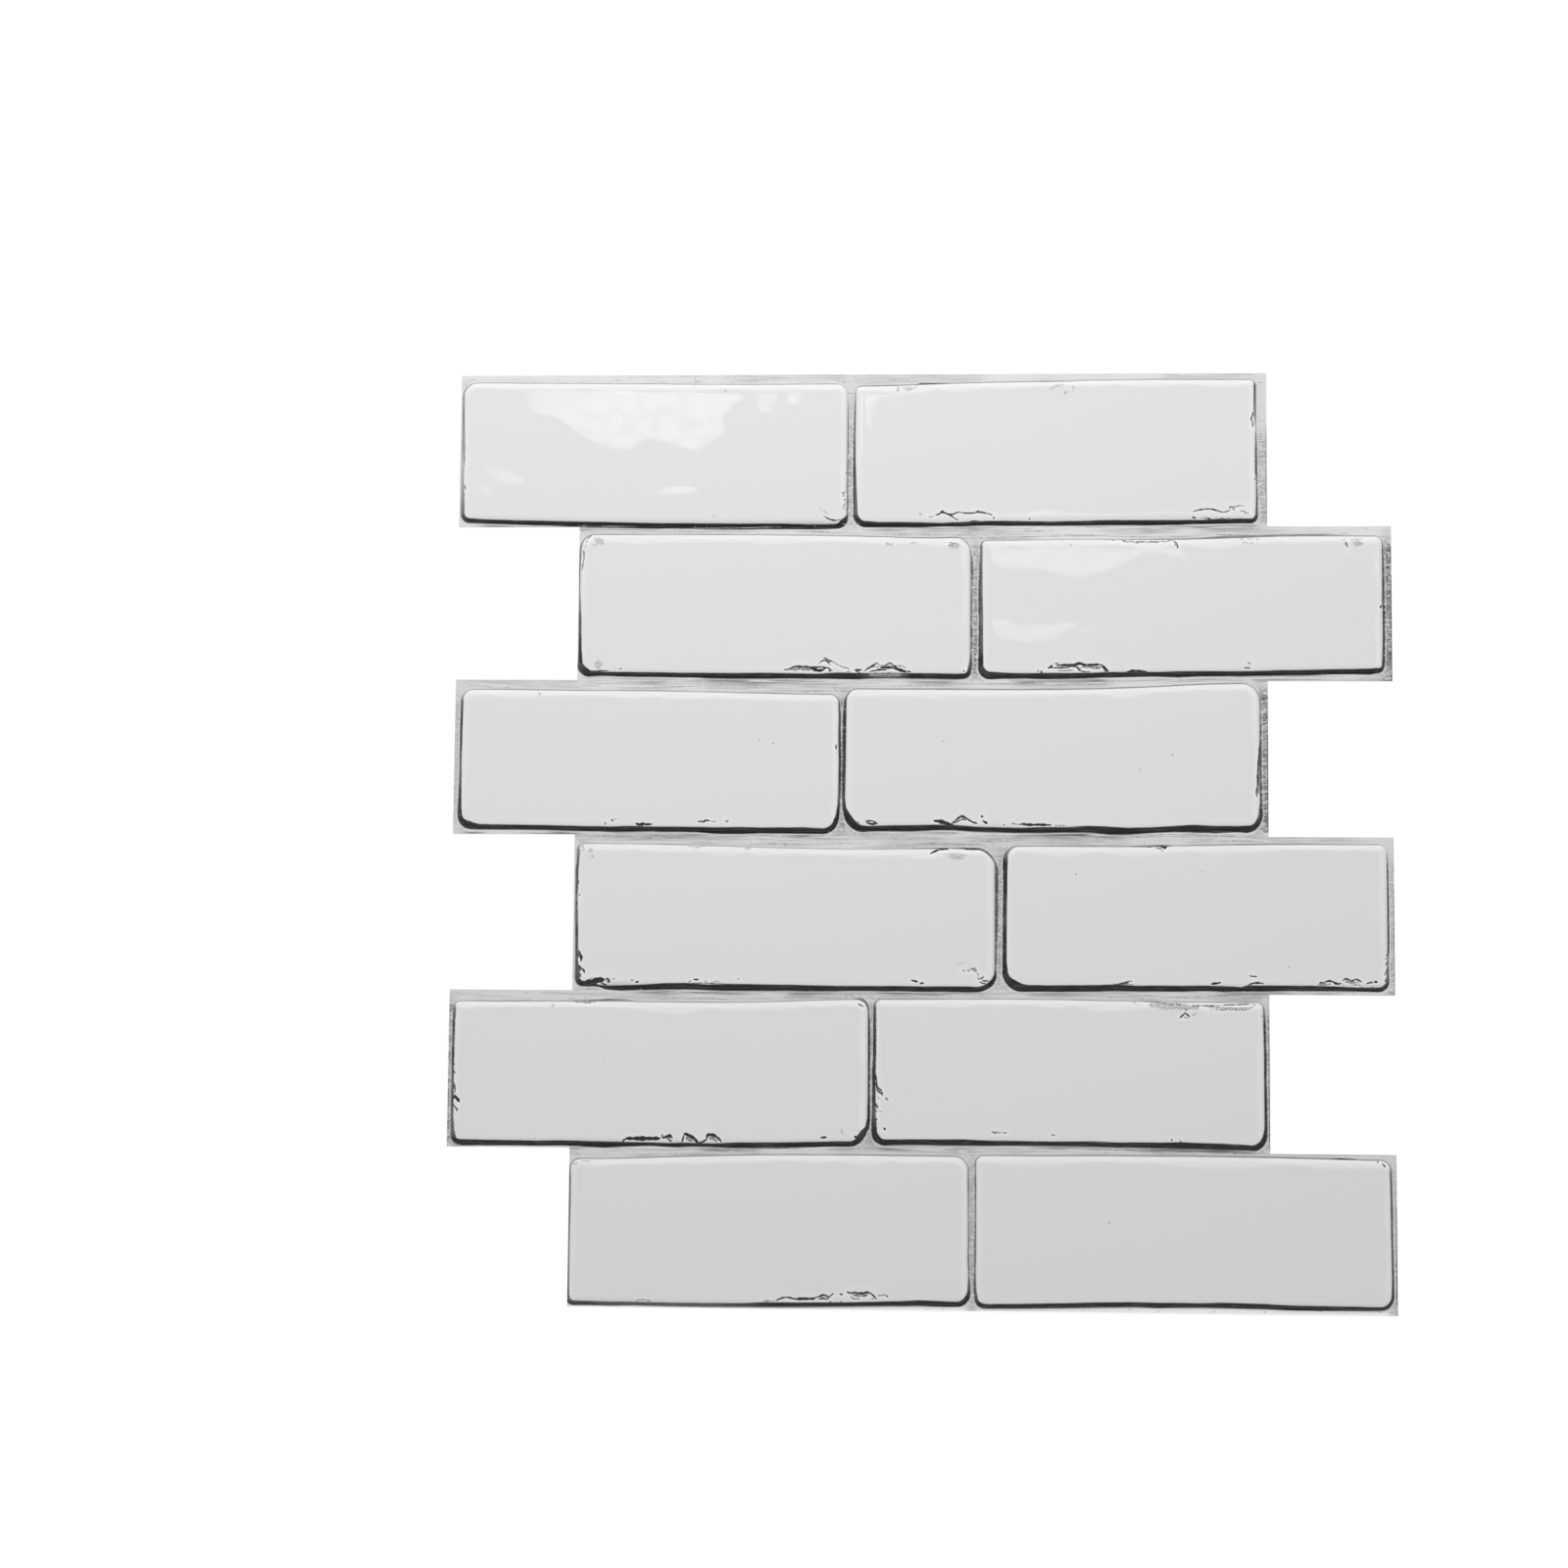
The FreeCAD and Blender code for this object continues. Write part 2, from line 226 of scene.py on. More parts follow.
# Printed vinyl film, matt, with a sanded grout print: pale and smooth in the level joints, with a few
# long thin lines that flow along the rows, and in the upright ones short winding strokes like coarse sand.
filmLook = {
    "level": "#D2D2D2",
    # painted light: the level joints' paler colour towards the sheet's top
    "levelPaintedLightTop": "#DADADA",
    "streak": "#8E8E8E",
    "flow": "#4E4E4E",
    "bare": "#D4D4D4",      # upright joints without sand, and under the most of it
    "sanded": "#BEBEBE",
    "sand": "#464646",
    "halo": "#DCDCDC",
    "edge": "#4C4C4C",
    "lowestMargin": "#F4F4F4",
    "lowestMarginMm": (1.4, 2.2),       # from the sheet's lower edge: all of it, and none
    "roughness": 0.62,
    "ior": 1.5,
    "reliefStrength": 0.4,
    "reliefMm": 0.05,
    "levelShares": (0.45, 0.85),        # from the upright joints' print to the level ones'
    "upward": (-0.3, 0.8),              # the painted light towards the top starts and is full, in half sheet heights
    "nearContourMm": (0.2, 3.2),        # from a tile's edge: all near, and not near
    "streaks": {"sizeMm": 0.9, "start": 0.49, "full": 0.66, "detail": 3.0, "stretch": (0.045, 1.0, 1.0)},
    "streakShares": (0.6, 0.30),        # more of it near a contour's lower side, and anywhere
    "streaksUpward": (-0.85, 1.15),     # how it fades towards the sheet's top
    "flowAlongMm": 32.0,                # how long and how far apart the flow lines are
    "flowAcrossMm": 1.0,
    "flowHalfWidth": 0.15,
    "flowPatches": {"sizeMm": 16.0, "start": 0.42, "full": 0.56, "detail": 1.0, "stretch": (0.5, 1.0, 1.0)},
    "flowShares": (0.7, 0.25),
    "winding": {"sizeMm": 0.95, "detail": 1.0, "stretch": (0.6, 1.0, 1.0)},
    "windingHalfWidth": 0.13,
    "windingPatches": {"sizeMm": 4.0, "start": 0.34, "full": 0.56, "least": 0.45},
    "dashes": {"sizeMm": 0.85, "start": 0.50, "full": 0.62, "detail": 1.0, "stretch": (0.25, 1.0, 1.0)},
    "dashShare": 0.65,
    "fullySanded": 0.75,                # the sand tone at which every stroke shows
    "haloMm": (0.05, 0.3),              # beyond the contour: the painted highlight line starts, and is full
    "haloEndMm": (0.35, 0.8),           # and fades
    "haloShare": 0.6,
    "cutEndMm": (0.05, 0.55),           # from the film's end: all of its shade, and none
    "cutEndShares": (0.2, 0.95),        # without sand, and with it
    "cutEndSanded": 0.7,
}


def flowLines(tree, outward):
    # lines that run along the rows, parallel to the tiles' edges, and differ from row to row
    look = filmLook
    place = addNode(tree, "ShaderNodeTexCoord").outputs["Object"]
    x = addNode(tree, "ShaderNodeSeparateXYZ", [place]).outputs["X"]
    along = addNode(tree, "ShaderNodeMath", (x, look["flowAlongMm"] * mm), operation="DIVIDE")
    across = addNode(tree, "ShaderNodeMath", (outward, look["flowAcrossMm"]), operation="DIVIDE")
    row = addNode(tree, "ShaderNodeMath", (rowsDown(tree, place), rowPitch), operation="DIVIDE")
    row = addNode(tree, "ShaderNodeMath", [row], operation="FLOOR")
    apart = addNode(tree, "ShaderNodeMath", (row, 5.9), operation="MULTIPLY")
    spot = addNode(tree, "ShaderNodeCombineXYZ", (along, across, apart))
    size = {"Vector": spot, "Scale": 1.0, "Detail": 2.0, "Roughness": 0.6}
    return windingLines(tree, addNode(tree, "ShaderNodeTexNoise", size), look["flowHalfWidth"])


def levelJointColour(tree, outward, under):
    look = filmLook
    place = addNode(tree, "ShaderNodeTexCoord").outputs["Object"]
    height = addNode(tree, "ShaderNodeSeparateXYZ", [place]).outputs["Y"]
    # painted light: the level joints are made paler towards the sheet's top, nearer the softbox
    levels = (height, *(share * sheetTop * mm for share in look["upward"]))
    upward = addNode(tree, "ShaderNodeMapRange", levels, interpolation_type="SMOOTHSTEP")
    mix = (upward, srgb(look["level"]), srgb(look["levelPaintedLightTop"]))
    colour = addNode(tree, "ShaderNodeMix", mix, data_type="RGBA")
    levels = (outward, *look["nearContourMm"], 1.0, 0.0)
    near = addNode(tree, "ShaderNodeMapRange", levels, interpolation_type="SMOOTHSTEP")
    near = addNode(tree, "ShaderNodeMath", (near, under), operation="MULTIPLY")

    fade = addNode(tree, "ShaderNodeMath", (upward, *look["streaksUpward"]), operation="MULTIPLY_ADD")
    share = addNode(tree, "ShaderNodeMath", (near, *look["streakShares"]), operation="MULTIPLY_ADD")
    streaks = (blobs(tree, **look["streaks"]), share)
    streaks = addNode(tree, "ShaderNodeMath", streaks, operation="MULTIPLY")
    streaks = addNode(tree, "ShaderNodeMath", (streaks, fade), operation="MULTIPLY")
    colour = addNode(tree, "ShaderNodeMix", (streaks, colour, srgb(look["streak"])), data_type="RGBA")

    share = addNode(tree, "ShaderNodeMath", (near, *look["flowShares"]), operation="MULTIPLY_ADD")
    lines = (flowLines(tree, outward), blobs(tree, **look["flowPatches"]))
    lines = addNode(tree, "ShaderNodeMath", lines, operation="MULTIPLY")
    lines = addNode(tree, "ShaderNodeMath", (lines, share), operation="MULTIPLY")
    colour = addNode(tree, "ShaderNodeMix", (lines, colour, srgb(look["flow"])), data_type="RGBA")

    ends = [(fromEdge - sheetTop) * mm for fromEdge in look["lowestMarginMm"]]
    lowest = addNode(tree, "ShaderNodeMapRange", (height, *ends, 1.0, 0.0), interpolation_type="SMOOTHSTEP")
    return addNode(tree, "ShaderNodeMix", (lowest, colour, srgb(look["lowestMargin"])), data_type="RGBA")


def uprightJointColour(tree, sanded):
    # the colour, and how much sand shows, which is also its height
    look = filmLook
    strokes = windingLines(tree, grain(tree, **look["winding"]), look["windingHalfWidth"])
    strokes = (strokes, blobs(tree, **look["windingPatches"]))
    strokes = addNode(tree, "ShaderNodeMath", strokes, operation="MULTIPLY")
    dashes = (blobs(tree, **look["dashes"]), look["dashShare"])
    dashes = addNode(tree, "ShaderNodeMath", dashes, operation="MULTIPLY")
    sand = addNode(tree, "ShaderNodeMath", (strokes, dashes), operation="MAXIMUM")
    levels = (sanded, 0.0, look["fullySanded"])
    share = addNode(tree, "ShaderNodeMapRange", levels, interpolation_type="SMOOTHSTEP")
    sand = addNode(tree, "ShaderNodeMath", (sand, share), operation="MULTIPLY")
    mix = (sanded, srgb(look["bare"]), srgb(look["sanded"]))
    colour = addNode(tree, "ShaderNodeMix", mix, data_type="RGBA")
    return addNode(tree, "ShaderNodeMix", (sand, colour, srgb(look["sand"])), data_type="RGBA"), sand


def printedFilmMaterial():
    look = filmLook
    material, tree = newMaterial("Printed vinyl film")
    outward, under, over, sanded, inkAndShadowEdge, inkAndShadowTone, cutEdge = [
        addNode(tree, "ShaderNodeAttribute", attribute_name=name).outputs["Fac"]
        for name in ("outward", "under", "over", "sandTone", "inkAndShadowEdge", "inkAndShadowTone", "cutEdge")
    ]
    upright, sand = uprightJointColour(tree, sanded)
    level = addNode(tree, "ShaderNodeMath", (under, over), operation="ADD")
    levels = (level, *look["levelShares"])
    level = addNode(tree, "ShaderNodeMapRange", levels, interpolation_type="SMOOTHSTEP")
    mix = (level, upright, levelJointColour(tree, outward, under))
    colour = addNode(tree, "ShaderNodeMix", mix, data_type="RGBA")

    # painted highlight: a pale line just outside the contour
    beyondInkAndShadow = addNode(tree, "ShaderNodeMath", (inkAndShadowEdge, -1.0), operation="MULTIPLY")
    levels = (beyondInkAndShadow, *look["haloMm"])
    halo = addNode(tree, "ShaderNodeMapRange", levels, interpolation_type="SMOOTHSTEP")
    levels = (beyondInkAndShadow, *look["haloEndMm"], look["haloShare"], 0.0)
    fade = addNode(tree, "ShaderNodeMapRange", levels, interpolation_type="SMOOTHSTEP")
    halo = addNode(tree, "ShaderNodeMath", (halo, fade), operation="MULTIPLY")
    halo = addNode(tree, "ShaderNodeMath", (halo, inkAndShadowTone), operation="MULTIPLY")
    colour = addNode(tree, "ShaderNodeMix", (halo, colour, srgb(look["halo"])), data_type="RGBA")
    # the contour: print, and painted shadow where it widens along the lower and left sides
    mix = (inkAndShadowShare(tree), colour, inkAndShadowColour(tree))
    colour = addNode(tree, "ShaderNodeMix", mix, data_type="RGBA")

    # the film's cut ends, darker where there is sand
    levels = (cutEdge, *look["cutEndMm"], 1.0, 0.0)
    cut = addNode(tree, "ShaderNodeMapRange", levels, interpolation_type="SMOOTHSTEP")
    levels = (sanded, 0.0, look["cutEndSanded"], *look["cutEndShares"])
    sandy = addNode(tree, "ShaderNodeMapRange", levels, interpolation_type="SMOOTHSTEP")
    cut = addNode(tree, "ShaderNodeMath", (cut, sandy), operation="MULTIPLY")
    colour = addNode(tree, "ShaderNodeMix", (cut, colour, srgb(look["edge"])), data_type="RGBA")
    surface(tree, look, colour, sand)
    return material


# Quartz sand in the grout's print: matt grey grains, each a little lighter or darker.
sandLook = {
    "dark": "#8C8C8C",
    "pale": "#C4C4C4",
    "shades": {"sizeMm": 1.1, "start": 0.35, "full": 0.65, "detail": 1.0},
    "roughness": 0.7,
    "ior": 1.54,
}


def groutSandMaterial():
    look = sandLook
    material, tree = newMaterial("Grout sand")
    mix = (blobs(tree, **look["shades"]), srgb(look["dark"]), srgb(look["pale"]))
    surface(tree, look, addNode(tree, "ShaderNodeMix", mix, data_type="RGBA"))
    return material


# Siliconised kraft liner, bleached: satin, with faint long fibres.
linerLook = {
    "paper": "#E9E6DC",
    "fibre": "#DAD5C6",
    "fibres": {"sizeMm": 0.8, "start": 0.40, "full": 0.75, "detail": 4.0, "stretch": (0.25, 1.0, 1.0)},
    "roughness": 0.42,
    "ior": 1.45,
    "reliefStrength": 0.3,
    "reliefMm": 0.02,
}


def releasePaperMaterial():
    look = linerLook
    material, tree = newMaterial("Siliconised release paper")
    fibres = blobs(tree, **look["fibres"])
    mix = (fibres, srgb(look["paper"]), srgb(look["fibre"]))
    surface(tree, look, addNode(tree, "ShaderNodeMix", mix, data_type="RGBA"), fibres)
    return material


gelMaterial = castGelMaterial()
filmMaterial = printedFilmMaterial()
sandMaterial = groutSandMaterial()
paperMaterial = releasePaperMaterial()
print("materials made")

# The gel tiles. Their outlines come from the frame; the rest of the hand-made look is here.
tileShape = {
    "rimRunMm": 2.3,         # how far in the poured rim rises
    "topRimMm": 1.4,         # the least width of the painted highlight along the top rim
    "faceBelowTopMm": 0.06,  # room for the uneven face under the sheet's full thickness
    "perimeterStepMm": 0.26,
    "ringStepsMm": (0, 0.05, 0.13, 0.26, 0.44, 0.65, 0.9, 1.15, 1.4, 1.65, 1.9),
    "markStepMm": 0.26,      # mesh spacing beside the cracks, beside the rim and over the face
    "borderStepMm": 0.8,
    "faceStepMm": 2.4,
    "markRoomMm": 0.6,       # how far from a crack, and from the edge, the first two reach
    "borderMm": 4.6,
    "rimRoomMm": (0.12, 0.35),  # kept free inside the last ring, on the cracks and elsewhere
    "strokeRoomMm": 0.11,    # the least room between the points on a crack and the others
    "waveHeightMm": 0.09,
    "waveSizeMm": 24.0,
    "widerMm": 0.10,         # makes up for what the mesh's straight edges take off a crack
    "markDipsMm": {"crack": 0.12, "flake": 0.08, "worn": 0.03},
}

# How much painted highlight makes the rim paler along each side of a tile, most along the top where the
# light falls, and round its cracks.
paintedRimHighlights = {"top": 0.34, "topHighlightLine": 0.26, "left": 0.22, "right": 0.42, "bottom": 0.05, "crackHighlightHalo": 0.35}
# width of the painted highlight line at the inner edge of the top rim
topHighlightLineMm = 0.5

# The depths over which these fade, in mm from a tile's edge, or from a crack's or flake's.
fades = {
    "topRim": (-0.5, 0.7),      # from the end of the pale rim at the top
    "endRim": (1.3, 3.0),
    "bottomRim": (1.8, 2.6),
    "bottomRimEnd": (2.6, 4.5),
    "halo": (-1.0, -0.2),
    "haloEnd": (6.0, 8.0),
    "markDip": (-0.3, 0.2),
    "anyDip": (0.2, 0.9),
    "face": (1.0, 6.0),
}

sideWays = {"left": (-1, 0), "right": (1, 0), "bottom": (0, -1), "top": (0, 1)}

# The printed contour along each side of a tile, partly painted shadow where it widens along the lower
# and left sides: how ragged it is, in mm, then stations, each as mm from the side's left or top end, mm
# that the ink reaches out over the film, mm that it reaches in over the gel, and how dark it is.
contour = {
    "tile_1_left": {
        "bottom": (0.05, (0, 0.1, 1.4, 1), (8, 0.35, 0.9, 1), (22, 0.6, 0.7, 1), (43, 1, 0.7, 1),
         (64, 1.1, 0.55, 1), (92, 1.2, 0.55, 1), (106, 1.35, 0.45, 1), (116, 1.4, 0.2, 1),
         (121, 1.4, 0.15, 1), (124, 1.15, 0.35, 1), (127, 0.7, 1.5, 1)),
        "left": (0.15, (0, 0.2, 0.4, 0.6), (4, 0, 0.75, 0.65), (13, -0.1, 0.9, 0.7),
         (18, -0.3, 1.05, 0.65), (23, -0.5, 1.25, 0.6), (28, -0.5, 1.1, 0.35), (33, -0.3, 0.95, 0.6),
         (38, -0.15, 1.3, 0.75), (44, -0.2, 1.45, 0.8), (47.5, 0.4, 1.4, 0.95)),
        "right": (0.25, (0, 0, -0.3, 0), (6, 0.2, -0.1, 0.2), (10, 0.35, -0.1, 0.4),
         (23, 0.4, -0.15, 0.5), (30, 0.3, 0.1, 0.4), (38, 0.4, 0, 0.5), (44, 0.4, 0.1, 0.5),
         (45.5, 0.35, 0.5, 0.9), (47.5, 1.1, 1.4, 1)),
        "top": (0.1, (0, 0.12, 0.22, 0.66)),
    },
    "tile_1_right": {
        "bottom": (0.05, (0, 0.45, 1.3, 1), (4, 0.6, 1.3, 1), (8, 0.55, 1.05, 1), (22, 0.65, 0.85, 1),
         (29, 0.4, 0.65, 1), (36, 0.4, 0.9, 1), (43, 0.25, 1.1, 1), (50, 0.4, 1.1, 1), (64, 0.5, 0.8, 1),
         (85, 0.55, 1.05, 1), (106, 0.7, 0.7, 1), (113, 0.6, 0.7, 1), (120, 0.5, 1.05, 1),
         (131, 0.5, 0.9, 1)),
        "left": (0.12, (0, 0.1, 0.1, 0.2), (4, 0.1, 0.3, 0.4), (8, 0.2, 0.4, 0.65), (18, 0.5, 0.25, 0.75),
         (28, 0.45, 0.4, 0.85), (38, 0.5, 0.75, 0.88), (44, 0.3, 1.1, 0.92), (46, 0.6, 1.2, 1),
         (48.5, 0.7, 1.3, 1)),
        "right": (0.2, (0, -0.3, 0.5, 0.7), (2, -0.4, 0.85, 0.85), (8, -0.3, 0.85, 0.85),
         (12, -0.35, 0.8, 0.8), (15, -0.2, 0.5, 0.5), (17, 0, 0.3, 0.3), (19, 0.1, 0.4, 0.7),
         (23, 0.25, 0.5, 0.85), (31, 0.35, 0.5, 0.85), (34, 0.4, 0.1, 0.6), (38, 0.4, 0.1, 0.75),
         (43, 0.4, 0.25, 0.9), (46, 0.5, 0.6, 1), (48.5, 0.6, 0.9, 1)),
        "top": (0.1, (0, 0.22, 0.24, 0.66), (20, 0.22, 0.22, 0.66), (21.5, 0.63, 0.08, 0.77),
         (30, 0.28, 0.23, 0.84), (32, 0.22, 0.22, 0.66), (58, 0.12, 0.37, 0.66), (62, 0.13, 0.43, 0.77),
         (70, -0.02, 0.48, 0.7), (73, 0.12, 0.32, 0.66), (131, 0.12, 0.27, 0.66)),
    },
    "tile_2_left": {
        "bottom": (0.05, (0, 0.5, 2.1, 1), (2, 0.5, 2.1, 1), (4, 0.35, 1.5, 1), (8, 0.15, 1.05, 1),
         (15, 0.45, 1, 1), (36, 0.45, 1, 1), (50, 0.45, 1.2, 1), (64, 0.3, 1.4, 1), (78, 0.2, 1.15, 1),
         (85, 0.45, 1.5, 1), (92, 0.5, 1.45, 1), (97, 0.3, 1.4, 0.85), (106, 0.2, 1.4, 0.85),
         (109, 0.3, 1.4, 1), (113, 0.35, 1.35, 1), (124, 0.5, 1.2, 1), (128, 0.25, 1.4, 1)),
        "left": (0.1, (0, 0.3, 0.4, 0.5), (4, 0, 0.75, 0.75), (8, 0.2, 0.5, 0.7), (13, 0.4, 0.3, 0.7),
         (18, 0.15, 0.3, 0.65), (23, 0, 0.6, 0.85), (28, 0.1, 0.9, 0.88), (38, 0.05, 1.1, 0.92),
         (43, 0.15, 1.6, 1), (45, 0.6, 2, 1), (47, 0.6, 2.1, 1)),
        "right": (0.35, (0, 0, -0.2, 0.1), (3, -0.1, 0.5, 0.4), (6, 0.1, 0.3, 0.35), (8, 0.55, -0.2, 0.5),
         (13, 0.85, -0.45, 0.6), (18, 0.6, -0.2, 0.25), (23, 0.5, -0.1, 0.5), (28, 0.5, 0.1, 0.3),
         (32, 0.7, -0.4, 0.5), (38, 0.5, -0.1, 0.4), (43, 0.55, 0.5, 0.75), (45, 0.2, 1, 0.95),
         (47, 0.1, 1.3, 1)),
        "top": (0.1, (0, 0.18, 0.38, 0.7), (5, 0.12, 0.22, 0.52), (92, 0.17, 0.22, 0.52),
         (97, 0.27, 0.22, 0.63), (100, 0.22, 0.12, 0.52), (108, 0.02, 0.47, 0.52),
         (116, 0.12, 0.37, 0.56), (123, 0.42, 0.07, 0.56), (128, 0.28, 0.18, 0.52)),
    },
    "tile_2_right": {
        "bottom": (0.05, (0, 0.5, 1.9, 1), (4, 0.45, 1.9, 1), (8, 0.25, 1.6, 1), (15, 0.25, 1.35, 1),
         (22, 0.55, 1.35, 1), (36, 0.4, 1.15, 1), (43, 0.35, 1.3, 1), (57, 0.3, 1.1, 1),
         (64, 0.75, 1.2, 1), (71, 0.5, 1.2, 1), (85, 0.55, 0.95, 1), (99, 0.5, 1.1, 1), (120, 0.6, 1, 1),
         (126, 0.8, 1.1, 1), (128, 0.3, 1.3, 1), (130, 0.3, 1.15, 1)),
        "left": (0.12, (0, -0.1, 0.6, 0.65), (4, 0, 0.85, 0.75), (13, 0.3, 0.85, 0.82),
         (18, 0.5, 0.9, 0.85), (28, 0.25, 1.1, 0.85), (38, 0.35, 1.1, 0.88), (43, 0.5, 1.25, 0.95),
         (45, 0.6, 1.7, 1), (46.5, 0.7, 1.9, 1)),
        "right": (0.3, (0, 0.1, 0, 0.3), (4, 0.1, 0.15, 0.55), (8, 0.5, 0.05, 0.8), (18, 0.5, 0.2, 0.8),
         (22, 0.6, 0.35, 0.75), (25, 0.8, -0.1, 0.65), (33, 0.7, 0.05, 0.85), (38, 0.6, 0.25, 0.88),
         (43, 0.45, 0.6, 0.95), (45, 0.45, 1.15, 1), (46.6, 0.45, 1.2, 1)),
        "top": (0.1, (0, 0.17, 0.22, 0.52), (45, 0.12, 0.22, 0.52), (70, 0.58, -0.12, 0.52),
         (80, 0.93, -0.37, 0.63), (92, 0.83, -0.37, 0.63), (112, 0.78, -0.32, 0.52),
         (118, 0.38, 0.08, 0.52), (130, 0.22, 0.22, 0.52)),
    },
    "tile_3_left": {
        "bottom": (0.05, (0, 0.4, 1.6, 1), (2, 0.3, 2.15, 1), (4, 0, 2.25, 1), (5.5, 0.1, 1.8, 1),
         (7, 0.25, 1.4, 1), (15, 0.3, 1.3, 1), (29, 0.1, 1.3, 1), (43, 0.5, 1.1, 1), (50, 0.55, 1.1, 1),
         (57, 0.45, 1.4, 1), (64, 0.2, 1.25, 1), (78, 0.35, 1.35, 1), (85, 0.8, 1.3, 1),
         (92, 0.7, 1.5, 1), (99, 0.4, 1.45, 1), (113, 0.3, 1.65, 1), (120, 0.45, 1.3, 1),
         (124, 0.25, 1.3, 1)),
        "left": (0.08, (0, -0.1, 0.8, 0.4), (2, -0.2, 0.95, 0.65), (4, -0.1, 1.05, 0.85),
         (8, -0.05, 0.95, 1), (13, 0.1, 0.85, 0.97), (23, 0, 0.8, 0.93), (33, 0.1, 0.95, 0.97),
         (38, 0.3, 1, 0.95), (43, 0.45, 1.4, 1), (45, 0.6, 2, 1), (47, 0.35, 2.2, 1)),
        "right": (0.15, (0, -0.3, 0.6, 0.3), (4, -0.3, 0.65, 0.7), (8, 0.15, 0.45, 0.92),
         (13, 0.15, 0.5, 0.92), (18, 0.3, 0.55, 0.88), (23, 0.45, 0.3, 0.88), (33, 0.4, 0.4, 0.85),
         (38, 0.2, 0.65, 0.92), (41, -0.1, 1.1, 0.97), (43, -0.35, 1.65, 1), (45, 0.3, 1.5, 1),
         (46.8, 0.5, 1.35, 1)),
        "top": (0.1, (0, 0.17, 0.22, 0.52)),
    },
    "tile_3_right": {
        "bottom": (0.05, (0, 0.5, 1.8, 1), (2, 0.9, 1.7, 1), (4, 1, 1.2, 1), (8, 0.7, 1, 1),
         (15, 0.7, 1.15, 1), (22, 0.7, 1.25, 1), (29, 0.4, 1.35, 1), (36, 0.3, 1.35, 1),
         (43, 0.8, 0.8, 1), (57, 0.7, 0.9, 1), (64, 0.55, 1.3, 1), (71, 0.2, 1.4, 1), (78, -0.05, 2, 1),
         (85, 0.65, 1.8, 1), (92, 0.85, 1.35, 1), (99, 0.4, 1.4, 1), (106, 0.25, 1.6, 1),
         (113, 0.6, 1.85, 1), (120, 1.1, 1.2, 1), (127, 0.9, 1.05, 1), (130, 1.2, 1.15, 1),
         (134, 0.3, 1.2, 1)),
        "left": (0.1, (0, 0.1, 0.2, 0.5), (4, 0.1, 0.6, 0.8), (8, 0.5, 0.45, 0.92), (13, 0.85, 0.4, 0.92),
         (23, 0.7, 0.4, 0.92), (33, 0.8, 0.2, 0.92), (38, 0.85, 0.15, 0.92), (41, 0.6, 0.6, 0.97),
         (43, 0.5, 1.35, 1), (45, 0.7, 1.8, 1), (47, 0.9, 1.8, 1), (48.6, 1.1, 1.2, 1)),
        "right": (0.35, (0, 0.1, -0.1, 0.3), (4, 0.1, 0.2, 0.5), (8, 0.2, 0, 0.5), (13, 0.4, 0, 0.7),
         (18, 0.4, 0.2, 0.7), (23, 0.4, 0.3, 0.85), (27, 0.3, 0.6, 0.75), (33, 0.5, 0.2, 0.7),
         (38, 0.6, 0.15, 0.7), (41, 0.6, 0.4, 0.9), (43, 0.7, 0.8, 0.97), (45, 0.6, 1.25, 1),
         (48, 1, 1.1, 1)),
        "top": (0.1, (0, 0.22, 0.24, 0.63)),
    },
    "tile_4_left": {
        "bottom": (0.05, (0, 0, 1.9, 1), (2, 0.1, 1.6, 1), (4.5, 0.15, 1.6, 1), (6, 0, 1.3, 1),
         (8, 0.3, 0.35, 0.95), (10, 1, 0.2, 1), (12, 1.2, 0.2, 1), (15, 1.3, 0.35, 1), (22, 0.9, 0.75, 1),
         (29, 0.45, 1.5, 1), (36, 0.2, 1.8, 1), (43, 0.35, 1.45, 1), (50, 0.55, 1.7, 1),
         (57, 0.45, 1.7, 1), (71, 0.4, 1.5, 1), (85, 0.35, 1.3, 1), (106, 0.15, 1.35, 1),
         (120, 0.35, 1.35, 1), (127, 0.4, 1.45, 1), (131, 0.3, 1.3, 1), (134, 0.4, 0.9, 1),
         (136, 0.9, 0.6, 1)),
        "left": (0.15, (0, -0.4, 1.3, 0.6), (4, -0.3, 1.1, 0.8), (8, 0.25, 0.85, 0.9),
         (18, 0.25, 0.6, 0.88), (23, 0.25, 0.8, 0.88), (33, 0, 1.1, 0.95), (38, -0.3, 1.1, 0.9),
         (43, -0.5, 1.8, 0.97), (45, -0.2, 2, 1), (46.5, 0.1, 1.95, 1)),
        "right": (0.2, (0, -0.3, 0.65, 0.5), (3.5, -0.2, 0.7, 0.65), (5, 0.1, 0.3, 0.55),
         (8, 1.05, -0.35, 0.8), (18, 1.05, -0.4, 0.8), (28, 0.95, -0.35, 0.75), (36, 0.7, -0.25, 0.7),
         (40, 0.5, 0, 0.6), (42, 0.6, 0.2, 0.85), (43.5, 0.8, 0.4, 1), (45, 1, 1.1, 1),
         (46.7, 0.6, 1.5, 1)),
        "top": (0.1, (0, 0.12, 0.32, 0.56), (6, 0.12, 0.17, 0.52), (108, 0.12, 0.17, 0.52),
         (118, 0.13, 0.38, 0.7), (121, 0.18, 0.28, 0.63), (126, 0.08, 0.43, 1), (131, -0.02, 0.68, 1),
         (134, -0.12, 0.88, 1), (136, 0.18, 0.68, 1)),
    },
    "tile_4_right": {
        "bottom": (0.05, (0, 0.3, 2, 1), (2, 0.2, 2.5, 1), (4, 0.4, 2.5, 1), (6, 0.4, 2.1, 1),
         (8, 0.4, 1.75, 1), (15, 0.45, 1.6, 1), (29, 0.5, 1.65, 1), (36, 0.3, 1.75, 1), (43, 0.4, 1.4, 1),
